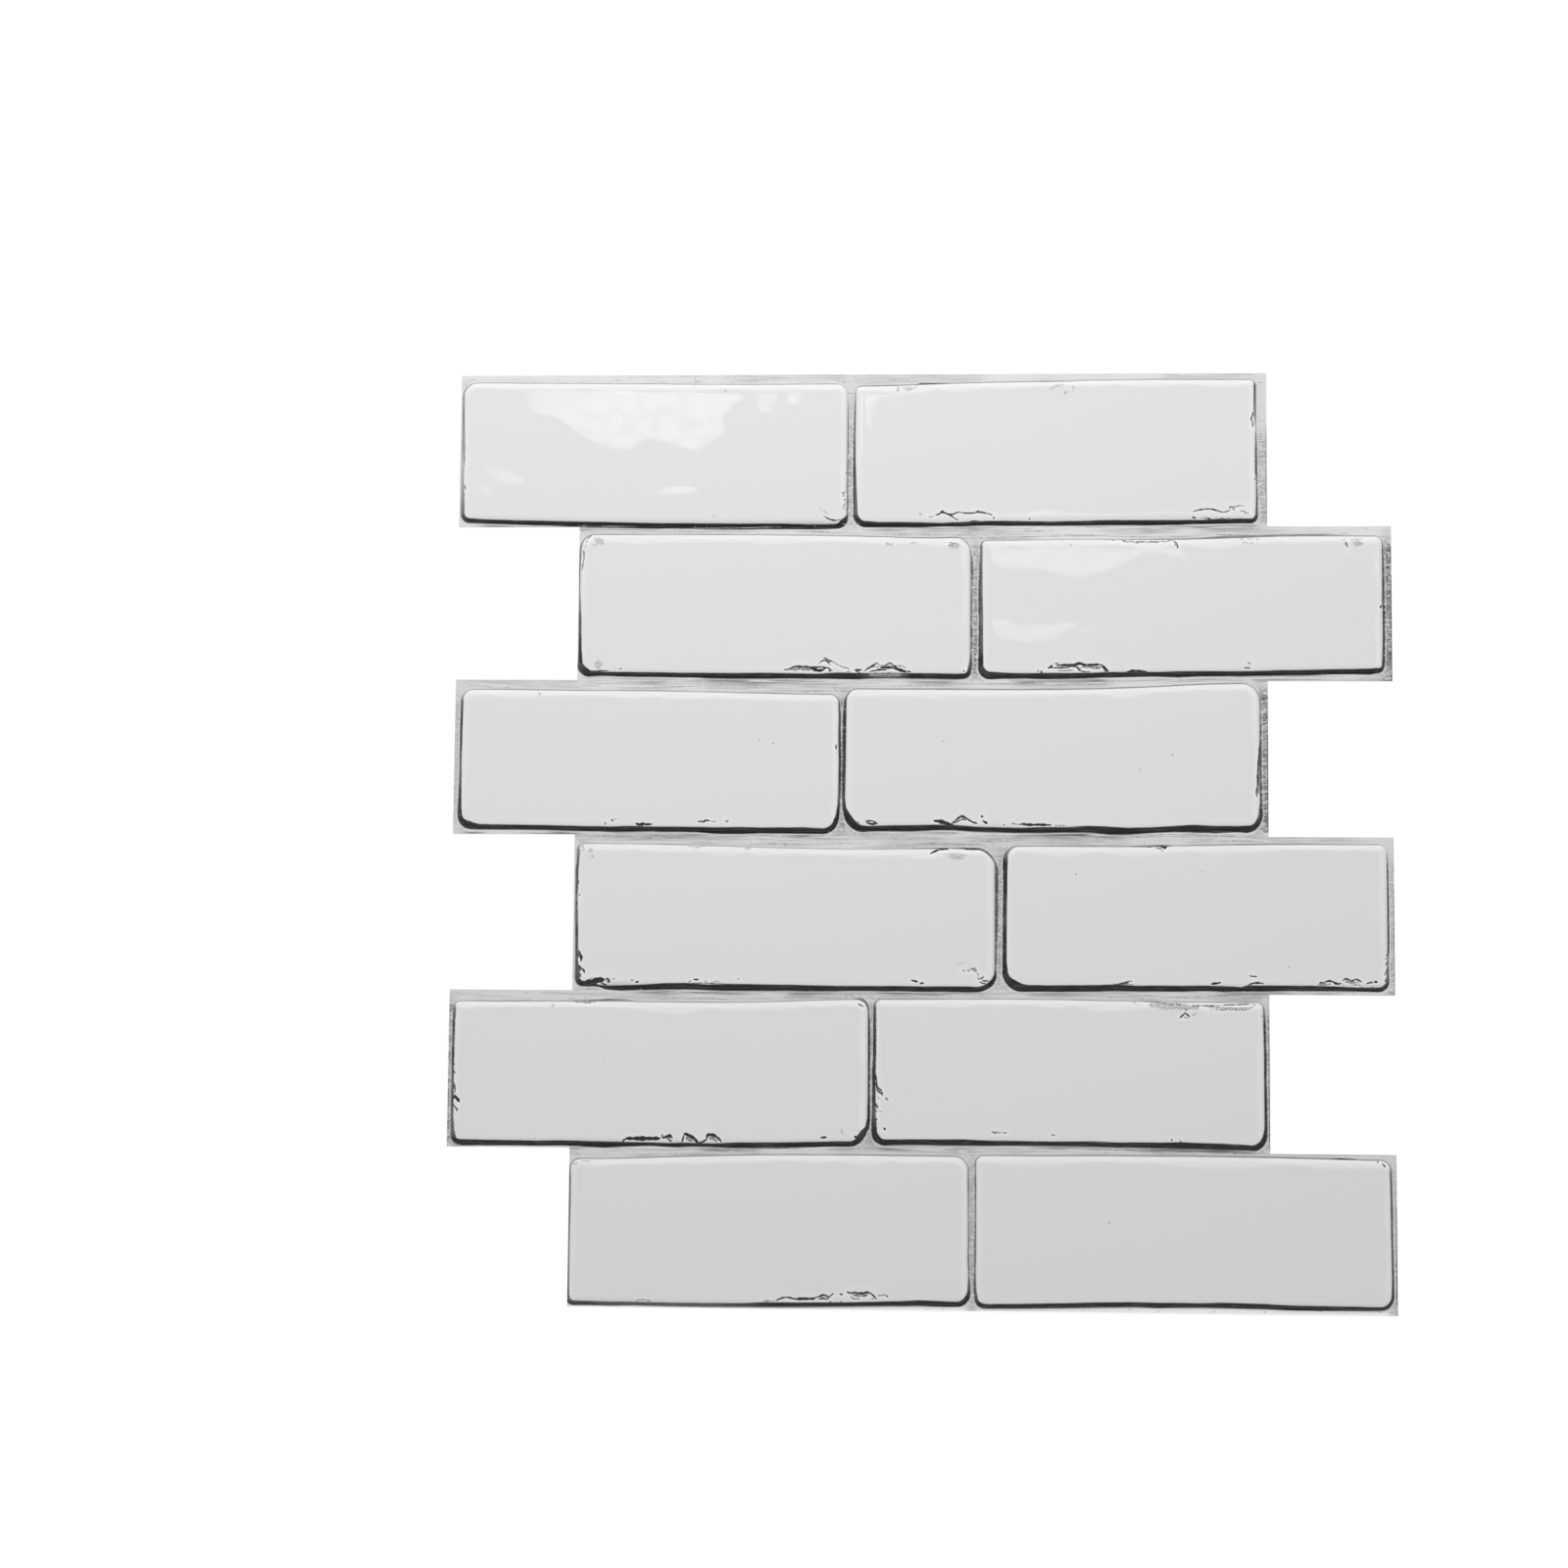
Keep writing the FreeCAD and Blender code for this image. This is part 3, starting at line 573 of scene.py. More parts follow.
         (57, 0.55, 1.3, 1), (64, 0.35, 1.4, 1), (71, 0.6, 1.2, 1), (76, 0.5, 0.9, 1), (78, 0.4, 1.5, 1),
         (85, 0.35, 1.4, 1), (99, 0.2, 1.35, 1), (106, 0.2, 1.15, 1), (113, 0.45, 0.75, 1),
         (119, 0.65, 0.8, 1), (123, 0.45, 0.95, 1)),
        "left": (0.05, (0, 0.2, 0.8, 0.6), (2, 0.4, 1.15, 0.85), (4, 0.4, 1.3, 0.92), (8, 0.4, 1.1, 0.97),
         (13, 0.3, 1.05, 1), (23, 0.4, 0.95, 1), (38, 0.45, 0.9, 1), (44, 0.5, 1.6, 1), (46, 0.7, 2.4, 1),
         (47.6, 0.6, 2.6, 1)),
        "right": (0.2, (0, 0, -0.2, 0.1), (4, 0.1, 0.25, 0.65), (8, 0.35, 0.2, 0.88),
         (18, 0.4, 0.15, 0.92), (28, 0.5, 0.15, 0.85), (34, 0.45, 0.2, 0.85), (38, 0.05, 0.5, 0.65),
         (43, 0.3, 0.7, 0.8), (46, 0.6, 0.85, 1), (47.6, 0.7, 1, 1)),
        "top": (0.1, (0, 0.17, 0.22, 0.52), (40, 0.18, 0.28, 0.56), (45, 0.18, 0.48, 0.7),
         (50, 0.38, 0.38, 0.84), (52.5, 0.38, 0.38, 0.7), (54, 0.22, 0.22, 0.52),
         (123, 0.17, 0.22, 0.52)),
    },
    "tile_5_left": {
        "bottom": (0.05, (0, -0.2, 1.8, 1), (2, 0.1, 1.7, 1), (4, 0.4, 1.45, 1), (8, 0.35, 1.4, 1),
         (15, 0.35, 1.3, 1), (22, 0.55, 1.15, 1), (29, 0.6, 1.05, 1), (36, 0.3, 1.2, 1), (43, 0.85, 1, 1),
         (50, 1.2, 0.9, 1), (57, 0.75, 0.8, 1), (64, 0.4, 0.75, 1), (71, 0.6, 0.65, 1),
         (74, 0.7, 0.75, 1), (78, 0.3, 0.8, 1), (85, 0.3, 0.75, 1), (92, 0.6, 1.1, 1), (106, 0.95, 1, 1),
         (120, 0.6, 1.05, 1), (127, 0.6, 1.15, 1), (131, 0.5, 1.1, 1), (133, 0.05, 2, 1),
         (135, -0.3, 2, 1)),
        "left": (0.2, (0, -0.4, 1, 0.4), (4, -0.35, 1.2, 0.85), (8, 0, 0.95, 0.92),
         (18, 0.05, 0.85, 0.92), (38, 0, 0.95, 0.9), (43, -0.2, 1.4, 0.92), (45, -0.3, 1.9, 0.95),
         (47.4, -0.15, 1.9, 1)),
        "right": (0.25, (0, 0.7, -0.4, 0.4), (2, 0.4, 0.3, 0.6), (4, 0.2, 0.25, 0.5),
         (8, 0.6, 0.15, 0.85), (18, 0.65, 0.05, 0.9), (28, 0.65, -0.05, 0.8), (33, 0.7, 0, 0.9),
         (38, 0.8, 0.2, 0.97), (41, 0.5, 0.9, 1), (43, 0, 2, 1), (45, 0.3, 2.15, 1), (47.4, 0.6, 1.3, 1)),
        "top": (0.1, (0, 0.12, 0.22, 0.52), (38, 0.22, 0.22, 0.52), (44, 0.38, 0.18, 0.63),
         (47, 0.53, -0.02, 0.7), (50, 0.88, -0.42, 0.7), (56, 0.78, -0.22, 0.52), (60, 0.12, 0.22, 0.52),
         (130, 0.12, 0.17, 0.52), (133, 0.98, -0.42, 0.84), (135, 0.68, 0.18, 0.84)),
    },
    "tile_5_right": {
        "bottom": (0.05, (0, 0.2, 1.9, 1), (4, 0.2, 1.65, 1), (8, 0, 1.7, 1), (22, 0.1, 1.8, 1),
         (29, 0.2, 1.75, 1), (36, 0.2, 1.45, 1), (57, -0.1, 1.4, 1), (64, -0.2, 1.55, 1), (71, 0, 1.7, 1),
         (78, 0.15, 1.5, 1), (92, -0.2, 1.8, 1), (99, -0.6, 2.1, 1), (113, -0.5, 1.95, 1),
         (120, 0.05, 1.65, 1), (125, 0.5, 1.35, 1)),
        "left": (0.2, (0, 0, 0.7, 0.85), (2, -0.1, 1.05, 0.9), (4, -0.2, 1.05, 0.97),
         (18, -0.1, 1.15, 0.97), (23, 0.2, 1, 0.95), (33, 0.1, 1.05, 0.93), (38, 0.15, 1.2, 0.97),
         (44, 0.35, 1.7, 1), (46, 0.6, 1.9, 1), (48, 0.3, 1.75, 1)),
        "right": (0.2, (0, 0, 0.3, 0.3), (2, 0.1, 0.45, 0.6), (4, 0.3, 0.4, 0.8), (8, 0.45, 0.4, 0.95),
         (13, 0.5, 0.25, 0.95), (18, 0.7, 0.05, 0.9), (28, 0.7, 0, 0.95), (33, 0.8, -0.05, 0.95),
         (38, 0.85, -0.15, 0.95), (41, 0.8, 0.2, 0.97), (44, 0.75, 0.9, 1), (47, 0.9, 1.4, 1)),
        "top": (0.1, (0, 0.12, 0.2, 0.52)),
    },
    "tile_6_left": {
        "bottom": (0.05, (0, 0.6, 1, 0.95), (8, 0.45, 0.95, 0.93), (15, 0.5, 0.9, 0.88),
         (22, 0.15, 1, 0.88), (43, 0.2, 1.05, 0.86), (57, 0, 1.25, 0.93), (64, -0.05, 1.6, 1),
         (78, -0.3, 1.5, 1), (92, -0.15, 1.4, 1), (106, 0.15, 1.5, 1), (113, 0.2, 1.7, 1),
         (120, 0.5, 1.4, 1), (128, 0.55, 1.1, 1)),
        "left": (0.1, (0, 0.2, 0.1, 0.4), (8, 0.5, 0.55, 0.85), (18, 0.4, 0.55, 0.88),
         (28, 0.5, 0.45, 0.82), (38, 0.6, 0.45, 0.88), (45, 0.7, 0.5, 0.9), (48, 0.8, 1.1, 1)),
        "right": (0.15, (0, 0, 0.3, 0.3), (4, 0, 0.7, 0.4), (8, 0, 0.65, 0.55), (18, 0.05, 0.6, 0.3),
         (28, 0.1, 0.45, 0.45), (33, 0.1, 0.45, 0.6), (38, 0.3, 0.1, 0.5), (43, 0.6, 0.45, 0.9),
         (45, 0.7, 0.9, 1), (48.7, 0.9, 1.4, 1)),
        "top": (0.1, (0, 0.17, 0.22, 0.52)),
    },
    "tile_6_right": {
        "bottom": (0.05, (0, -0.1, 1.7, 1), (4, 0.25, 1.3, 1), (15, 0.2, 1.4, 1), (29, 0.2, 1.45, 1),
         (36, 0.15, 1.6, 1), (50, -0.1, 1.6, 1), (57, 0.4, 1.4, 1), (71, 0.2, 1.25, 1),
         (78, 0.25, 1.55, 1), (92, 0.4, 1.35, 1), (99, 0.6, 1.1, 1), (106, 0.55, 1.1, 1),
         (120, 0.25, 1.2, 1), (132, 0, 1.1, 1)),
        "left": (0.2, (0, 0.3, 0, 0.4), (8, 0.4, 0.2, 0.6), (18, 0.25, 0.25, 0.5), (28, 0.3, 0.35, 0.65),
         (38, 0.45, 0.2, 0.6), (43, 0.5, 0.4, 0.75), (46, 0.2, 1, 0.85), (48.8, 0, 1.6, 0.95)),
        "right": (0.12, (0, 0, 0.4, 0.5), (4, -0.25, 1, 0.65), (8, -0.1, 0.75, 0.88),
         (18, 0.1, 0.65, 0.9), (28, 0.15, 0.5, 0.9), (38, 0.25, 0.4, 0.97), (43, 0.3, 0.5, 1),
         (46, 0.3, 0.9, 1), (48.8, 0.2, 1.3, 1)),
        "top": (0.1, (0, 0.22, 0.24, 0.52), (112, 0.38, 0.08, 0.56), (116, 0.58, -0.07, 0.98),
         (120, 0.48, -0.02, 0.84), (122, 0.32, 0.12, 0.52), (132, 0.22, 0.22, 0.56)),
    },
}

# Cracks, flaked patches and worn ones: kind, the side they belong to, line width in mm, then their
# points as mm along the side, from its left or top end, and mm in from it. Those of the face itself
# count from the tile's left end and from its top.
marks = {
    "tile_1_left": (
        ("worn", "right", 0.5, (36.8, 0.6), (38, 1.4)),
        ("worn", "right", 0.4, (40.5, 0.4), (42, 1.2)),
        ("worn", "right", 0.4, (42.8, 0.3), (43, 0.8)),
        ("worn", "bottom", 0.5, (83.3, 2.9), (84.6, 2.7)),
        ("crack", "right", 0.35, (30.2, 0.3), (30.9, 0.5)),
        ("crack", "right", 0.35, (37.2, 1.2), (37.5, 1.7)),
        ("flake", "right", 0.35, (38.2, 0.8), (38.5, 1.4)),
        ("crack", "right", 0.32, (39.4, 0.6), (39.7, 1)),
        ("flake", "right", 0.35, (40.9, 0.5), (41.5, 0.8)),
        ("flake", "right", 0.32, (42.7, 0.9), (42.4, 1.4)),
        ("crack", "bottom", 0.4, (119.8, 2.7), (121, 2.1), (122.5, 1.5), (124, 1.3), (125.2, 1.5),
         (126.1, 1.2)),
        ("worn", "bottom", 0.4, (118.6, 5.2), (119.8, 4.6), (121.4, 3.2)),
        ("worn", "top", 0.9, (87.1, 2.4), (87.5, 2.5)),
        ("flake", "left", 0.4, (34.5, 1.2), (36.2, 1.7)),
        ("flake", "left", 0.3, (24.5, 1.1), (28.5, 1.1)),
    ),
    "tile_1_right": (
        ("crack", "bottom", 0.5, (26.7, 3.1), (27.8, 3.5), (28.8, 4.3), (29.8, 3.8), (31, 3.3),
         (32.3, 3.3), (33.4, 3.9), (34.4, 4.1), (35.1, 3.9)),
        ("crack", "bottom", 0.85, (28.5, 4.2), (29.2, 4.2)),
        ("crack", "bottom", 0.45, (35.1, 3.8), (37, 3.7), (39.2, 3.7), (40.3, 4.2), (42, 3.9),
         (43.8, 3.5), (45.1, 3)),
        ("crack", "bottom", 0.55, (40.2, 4.1), (41.5, 4)),
        ("crack", "bottom", 0.32, (30.9, 3.1), (32.2, 2.5), (33.4, 1.7), (34.2, 1.5)),
        ("crack", "bottom", 0.5, (45.5, 2.05), (45.9, 2)),
        ("flake", "bottom", 0.25, (24.4, 2.55), (25.8, 2.6)),
        ("worn", "bottom", 0.5, (21.2, 3.4), (22, 3.4)),
        ("crack", "bottom", 0.25, (37.6, 1.1), (41, 1.2)),
        ("crack", "bottom", 0.38, (110.5, 3.4), (112.3, 3.9), (114.5, 4.2), (116.5, 4.1), (118, 3.7),
         (119.3, 3.2), (120.5, 3), (121.5, 3.3), (122.5, 3.7)),
        ("crack", "bottom", 0.6, (122.2, 4.4), (122.6, 4.9)),
        ("crack", "bottom", 0.3, (122.6, 4.7), (123.8, 4.7), (125.2, 5.1)),
        ("flake", "bottom", 0.3, (125.2, 5.1), (127, 5.1)),
        ("flake", "bottom", 0.3, (123, 4.1), (124, 3.9)),
        ("flake", "bottom", 0.4, (125.8, 3.5), (127, 3.2), (127.6, 2.5), (128.4, 2.7)),
        ("crack", "bottom", 0.45, (110, 1.7), (110.6, 1.4), (111.4, 1.25)),
        ("crack", "bottom", 0.4, (114.2, 1.1), (115.5, 1.1), (116.2, 0.8)),
        ("flake", "bottom", 0.25, (112.5, 1.3), (114.5, 1.35)),
        ("flake", "bottom", 0.4, (118, 1), (123, 0.95)),
        ("crack", "bottom", 0.5, (57.1, 1.7), (57.5, 1.7)),
        ("worn", "top", 0.55, (14, 0.3), (14, 2.3)),
        ("worn", "top", 0.6, (15.4, 0.4), (16.5, 1.5), (18, 1.8), (19.3, 1.5), (20.3, 0.3)),
        ("worn", "top", 0.4, (17, 0.6), (18.5, 1.1)),
        ("worn", "top", 0.5, (63.8, 3.3), (65, 2.2), (68.3, 1.6)),
        ("worn", "top", 0.8, (68.5, 4.4), (69.5, 4)),
        ("worn", "top", 0.35, (71.2, 3.6), (71.6, 2.6), (71.1, 2.2)),
        ("crack", "right", 0.38, (11.2, 1.1), (12.3, 1.2), (13.5, 1.7), (14.3, 1.3), (15, 1.1),
         (16.2, 1.2)),
        ("crack", "right", 0.5, (13.4, 1.6), (13.7, 1.7)),
        ("crack", "right", 0.3, (33, 0.5), (33.8, 0.5)),
    ),
    "tile_2_left": (
        ("crack", "bottom", 0.5, (67.5, 2.3), (69.5, 2.6), (70.5, 3.3), (72, 3.6), (73.5, 3.4), (75, 3.6),
         (76.2, 3.1), (77.5, 3.3), (79.5, 3.3), (80.3, 3.4), (81, 3), (82, 3.1), (82.6, 2.6),
         (83.3, 2.1)),
        ("flake", "bottom", 1.3, (69.5, 2.7), (72, 2.9), (75, 2.9), (77, 2.8)),
        ("crack", "bottom", 0.9, (76.5, 2.8), (78, 2.4), (79, 2.1), (80, 2.3), (81, 2.8)),
        ("crack", "bottom", 0.5, (82.2, 2.1), (82.7, 1.9)),
        ("crack", "bottom", 0.4, (79.1, 4.4), (79.6, 5.1), (80.3, 5.5), (81.4, 5.4), (82.1, 4.9),
         (82.6, 4)),
        ("crack", "bottom", 0.5, (80.6, 6.3), (81.3, 6.1), (82.3, 5.5), (83.3, 5.1)),
        ("flake", "bottom", 0.38, (83.3, 5.1), (84.8, 4.3), (86.2, 3.5), (87.8, 3), (89, 2.6)),
        ("flake", "bottom", 0.35, (88.2, 1.6), (89.2, 1.8)),
        ("crack", "bottom", 0.4, (90.6, 2.4), (93, 2.4)),
        ("crack", "bottom", 0.35, (90.8, 2.1), (91.8, 1.7), (92.6, 1.4)),
        ("crack", "bottom", 0.48, (93.8, 1.9), (94.7, 2.7), (95.8, 3.3), (97, 4.1), (98.3, 4.8)),
        ("flake", "bottom", 0.35, (98, 4.2), (99.5, 3.8), (101, 3.9)),
        ("crack", "bottom", 0.45, (100.7, 3.8), (101.4, 4.4), (102.2, 4.6), (102.9, 4.3), (103.2, 3.7),
         (104, 3.5), (104.5, 3.1)),
        ("flake", "bottom", 0.35, (95.5, 3.3), (97.5, 3.4), (99.5, 3.2)),
        ("flake", "bottom", 1.2, (99.5, 3.4), (101, 3.4), (103, 3.2)),
        ("crack", "bottom", 0.65, (99, 3.1), (101, 3.2), (103, 3), (104, 2.9)),
        ("flake", "bottom", 0.3, (103.5, 3.8), (106, 3.6), (107.4, 3.2)),
        ("crack", "bottom", 0.5, (95.5, 1.8), (97, 2.1), (98.5, 2.4), (101, 2.4)),
        ("crack", "bottom", 1.1, (103.8, 2.9), (105, 2.5), (106.3, 2.1), (107.2, 1.8)),
        ("crack", "bottom", 0.35, (107.5, 1.9), (109, 1.8)),
        ("flake", "bottom", 1.2, (95.8, 0.8), (99, 0.8), (103, 0.9), (105.5, 0.8)),
        ("worn", "bottom", 2.2, (5.6, 3.4), (7.6, 3.3)),
        ("flake", "bottom", 0.6, (13.8, 2.1), (14.4, 2)),
        ("crack", "bottom", 0.35, (4, 1.1), (7, 1.3), (10.5, 1.3)),
        ("flake", "top", 0.5, (1, 1.3), (2, 0.8), (3, 0.5), (3.8, 0.1)),
        ("worn", "top", 1.8, (5.3, 1.8), (6.5, 2.4), (7.6, 3.2)),
        ("worn", "top", 0.5, (2.5, 3.7), (5, 3.7), (5.8, 3.4)),
        ("worn", "top", 0.5, (100.5, 1.9), (101.2, 2.7), (102.5, 3), (103, 2.4)),
        ("worn", "top", 0.35, (108.8, 1.9), (110.2, 1.9)),
        ("flake", "top", 0.5, (121, 1.8), (121.5, 1.8)),
        ("flake", "top", 0.3, (121, 1.7), (123.8, 2.1)),
        ("flake", "top", 0.3, (121, 2.6), (122.3, 2.4)),
        ("worn", "top", 1.6, (121.5, 3), (124, 2.6), (125, 3.2)),
        ("flake", "left", 0.45, (5, 1.3), (8, 1.5), (10, 1.1), (12, 0.8)),
        ("worn", "left", 0.3, (2.5, 1.6), (5, 1.7)),
        ("crack", "right", 0.8, (45.3, 2), (46, 2.2)),
    ),
    "tile_2_right": (
        ("crack", "bottom", 0.55, (22.2, 3), (23.4, 3.2)),
        ("crack", "bottom", 0.6, (23.2, 3.4), (23.5, 3.8)),
        ("flake", "bottom", 0.6, (24.4, 4.3), (25.3, 4.3), (25.5, 3.9)),
        ("crack", "bottom", 0.8, (25.2, 3.7), (27, 3.8), (29.5, 3.8), (31, 3.9), (32.5, 4.3), (33.8, 3.8),
         (36, 3.7), (38.5, 3.8), (39.6, 3.6)),
        ("crack", "bottom", 0.9, (39.6, 3.7), (40.2, 3), (40.8, 2.2), (41.6, 1.6)),
        ("crack", "bottom", 0.4, (22.2, 2.95), (25, 2.95), (28, 2.9), (29.5, 3.3), (31, 3.3), (32, 2.9),
         (33, 2.6)),
        ("flake", "bottom", 0.8, (33.5, 3.2), (36, 3), (38, 2.7), (39.5, 2.9)),
        ("crack", "bottom", 0.3, (33, 1.6), (35, 1.4), (36, 1.5)),
        ("crack", "bottom", 0.35, (31.5, 2.9), (32.3, 2.1), (33, 1.8)),
        ("flake", "bottom", 0.35, (25.5, 2), (28, 2), (30, 1.9)),
        ("flake", "bottom", 0.3, (28.6, 2.4), (30.3, 2)),
        ("flake", "bottom", 0.5, (18.6, 2.1), (19.2, 1.9)),
        ("crack", "bottom", 0.6, (19.9, 1.9), (20.3, 1.2), (20.8, 1.1)),
        ("flake", "bottom", 0.4, (40.2, 1.6), (41.4, 1.5)),
        ("crack", "bottom", 0.8, (47.8, 1.2), (49.5, 1.5), (51.5, 1.5), (54, 1.1)),
        ("flake", "bottom", 0.6, (85.7, 2.1), (87.4, 1.9)),
        ("flake", "bottom", 0.8, (86.8, 3.8), (87.6, 3.1)),
        ("worn", "top", 0.6, (29, 2.1), (30, 2.1)),
        ("flake", "top", 0.45, (43, 0.5), (44, 0.1), (46, 0), (46.6, 0.6), (48, 0.9), (49.2, 0.7),
         (50.5, 1.1), (52, 0.9), (53, 0.8), (54.5, 1), (56, 0.8), (57.5, 0.9), (59, 0.7), (60.5, 0.8),
         (61.5, 0.4), (63, 0.4), (63.5, 0.8)),
        ("flake", "top", 0.8, (63.4, 0.7), (63.6, 1.5), (64.1, 2.2), (64.2, 3)),
        ("crack", "top", 0.3, (64.1, 2.3), (64.2, 2.9)),
        ("worn", "top", 0.4, (84.2, 0.3), (85.5, 0.7)),
        ("worn", "top", 0.4, (86.8, 0.6), (88.2, 0.5)),
        ("worn", "top", 0.4, (85, 1.9), (86.6, 1.9)),
        ("worn", "top", 0.4, (87.8, 2), (88.4, 2.2)),
        ("worn", "top", 0.4, (90, 0.6), (90.1, 1.3)),
        ("flake", "top", 0.7, (118.5, 2.2), (118.8, 3.2), (119, 3.8)),
        ("worn", "top", 0.4, (117.2, 1.2), (118.4, 1.4)),
        ("worn", "top", 0.35, (120, 1.4), (122, 1.2), (123.6, 1.2)),
        ("flake", "top", 0.45, (123.5, 1.2), (123.8, 1.3)),
        ("worn", "top", 2, (121.5, 2.6), (123.5, 2.8)),
        ("crack", "right", 0.6, (22.9, 0.5), (23.7, 0.9)),
    ),
    "tile_3_left": (
        ("flake", "bottom", 0.7, (47.9, 1.9), (48.5, 2.1)),
        ("flake", "bottom", 0.6, (50.2, 3.1), (51, 2.9)),
        ("flake", "bottom", 0.5, (51.4, 3.5), (51.9, 3.4)),
        ("crack", "bottom", 0.9, (58.3, 2.1), (59.3, 1.8), (60.3, 1.9), (60.9, 2.3)),
        ("crack", "bottom", 0.7, (60.6, 1.9), (62, 1.9), (63.5, 2)),
        ("crack", "bottom", 0.55, (78.6, 3), (79.5, 3.2), (80.3, 2.9), (81, 3.5), (82.3, 3.4)),
        ("flake", "bottom", 0.3, (83, 3.1), (84.3, 3.2)),
        ("flake", "bottom", 0.45, (87.4, 3.3), (88.4, 3.3)),
        ("crack", "right", 0.4, (18, 1), (18.8, 1.2), (19.6, 1.15)),
        ("flake", "right", 0.2, (20.3, 1.1), (21, 1)),
        ("worn", "top", 0.8, (25.8, 1.3), (26.4, 1.9)),
        ("crack", "face", 0.35, (98.2, 16.8), (98.4, 16.8)),
        ("crack", "face", 0.35, (102.7, 17.8), (102.9, 17.8)),
    ),
    "tile_3_right": (
        ("crack", "bottom", 0.5, (6.9, 2.4), (8.3, 2.6), (9.3, 2.5), (10.2, 2), (11, 1.5)),
        ("crack", "bottom", 0.6, (7.4, 1.9), (8.6, 1.6), (9.3, 1.5), (10.4, 1.6)),
        ("crack", "bottom", 0.35, (3.3, 1.9), (4.2, 1.3)),
        ("crack", "bottom", 1.1, (29.2, 2.6), (30.5, 2.5), (32, 2.2), (33.5, 1.7), (35, 1.4)),
        ("crack", "bottom", 0.4, (31, 1.2), (33, 1.1), (34.5, 1.2)),
        ("crack", "bottom", 0.6, (35, 1.9), (36.2, 3), (37.2, 3.8), (38.1, 4.2), (39.2, 3.7), (40.3, 3),
         (41.5, 2.3), (43, 1.9)),
        ("crack", "bottom", 0.4, (35.6, 1.8), (37, 2.7), (38.5, 3.2), (39.4, 2.9)),
        ("crack", "bottom", 0.7, (44.3, 4.3), (44.7, 4.1)),
        ("crack", "bottom", 0.6, (44.8, 2.9), (45.3, 2.5), (46.3, 2)),
        ("flake", "bottom", 0.5, (51.3, 1.8), (51.8, 1.4)),
        ("crack", "bottom", 0.75, (56.5, 1.8), (57.5, 2.1), (59.5, 1.9), (61, 1.9), (62.5, 2), (64.5, 2),
         (66.8, 2)),
        ("flake", "bottom", 0.4, (54, 2.2), (56, 1.9)),
        ("flake", "bottom", 0.5, (68.4, 1.8), (68.8, 1.7)),
        ("flake", "bottom", 0.25, (69.3, 2), (71.8, 1.8)),
        ("crack", "right", 0.45, (20, 0.2), (24, 0.5), (27.5, 0.7), (30, 0.9), (33, 0.9), (35.5, 1.4),
         (37, 1.2)),
        ("flake", "right", 1, (26, 0.3), (31, 0.4), (36, 0.8)),
        ("crack", "face", 0.35, (31.9, 19.3), (32.1, 19.3)),
        ("crack", "face", 0.35, (95.4, 28.4), (95.6, 28.4)),
        ("crack", "face", 0.35, (105.9, 23.6), (106.1, 23.6)),
    ),
    "tile_4_left": (
        ("crack", "bottom", 1.8, (3.6, 1), (6, 1.4), (7.8, 1.9), (9.3, 2)),
        ("crack", "bottom", 0.45, (10.1, 2.2), (10.9, 2.4), (11.4, 1.9), (11.3, 1.3), (10.6, 1.3)),
        ("flake", "bottom", 0.6, (10.5, 1.8), (10.9, 1.7)),
        ("crack", "bottom", 0.5, (8.8, 0.9), (9.8, 0.5), (10.4, 0.4)),
        ("flake", "bottom", 0.4, (5.2, 2.4), (6, 2.6)),
        ("flake", "bottom", 0.35, (12.2, 2.4), (13.2, 2.3)),
        ("flake", "bottom", 0.38, (18, 2), (19.4, 2)),
        ("crack", "bottom", 0.45, (19.9, 1.5), (20.9, 1.7)),
        ("crack", "bottom", 0.5, (38.7, 2.9), (40.2, 2.9)),
        ("flake", "bottom", 0.4, (37.2, 2.1), (38, 2.3)),
        ("crack", "bottom", 0.25, (37, 1.6), (41, 1.8), (45, 1.8), (49, 1.7)),
        ("flake", "bottom", 0.25, (42.3, 2.4), (43.3, 2.4)),
        ("flake", "bottom", 0.25, (45.5, 2.4), (46.8, 2.4)),
        ("flake", "bottom", 0.4, (53.1, 3.3), (53.5, 3.3)),
        ("crack", "bottom", 0.55, (109.2, 3.2), (110.3, 3), (111.2, 2.7)),
        ("crack", "bottom", 0.5, (111.9, 2.1), (112.5, 2.3), (113.2, 2.4)),
        ("flake", "bottom", 0.8, (125.8, 6.4), (126.4, 6.4)),
        ("flake", "bottom", 0.8, (127.5, 6.7), (127.7, 6.4)),
        ("flake", "bottom", 0.6, (128.3, 7.1), (129.5, 6.7), (131, 6.4), (133, 6.5), (135, 6.9)),
        ("flake", "bottom", 0.5, (129, 7.2), (132, 7.2), (134.5, 7.6)),
        ("flake", "bottom", 0.5, (131.2, 3.9), (132.2, 3.7), (133.4, 3.6), (134.6, 3.2), (135.2, 3.4)),
        ("flake", "bottom", 0.4, (133, 4.6), (134, 5), (135, 5.4)),
        ("crack", "bottom", 0.45, (132.2, 2.5), (133, 2), (133.8, 1.2)),
        ("crack", "bottom", 0.45, (133.4, 2.7), (134.2, 2.1), (135, 1.2)),
        ("worn", "bottom", 0.4, (124.5, 9), (126, 8.8)),
        ("crack", "left", 0.3, (12, 0.8), (13.4, 0.8)),
        ("crack", "left", 0.45, (16.8, 1.2), (17.1, 1.3)),
        ("crack", "left", 0.5, (18.8, 0.3), (20.2, 0.4)),
        ("crack", "left", 0.7, (35, 1.3), (36.4, 1.8), (37.2, 2.2), (38.6, 2.1)),
        ("crack", "left", 0.45, (35.5, 0.9), (37.2, 1.3)),
        ("crack", "left", 0.6, (39.8, 1.2), (40.6, 2), (41.4, 3), (42.2, 3.3)),
        ("crack", "left", 0.4, (40.3, 1.3), (41.8, 2)),
        ("crack", "left", 0.35, (42, 1.4), (43.8, 2.3)),
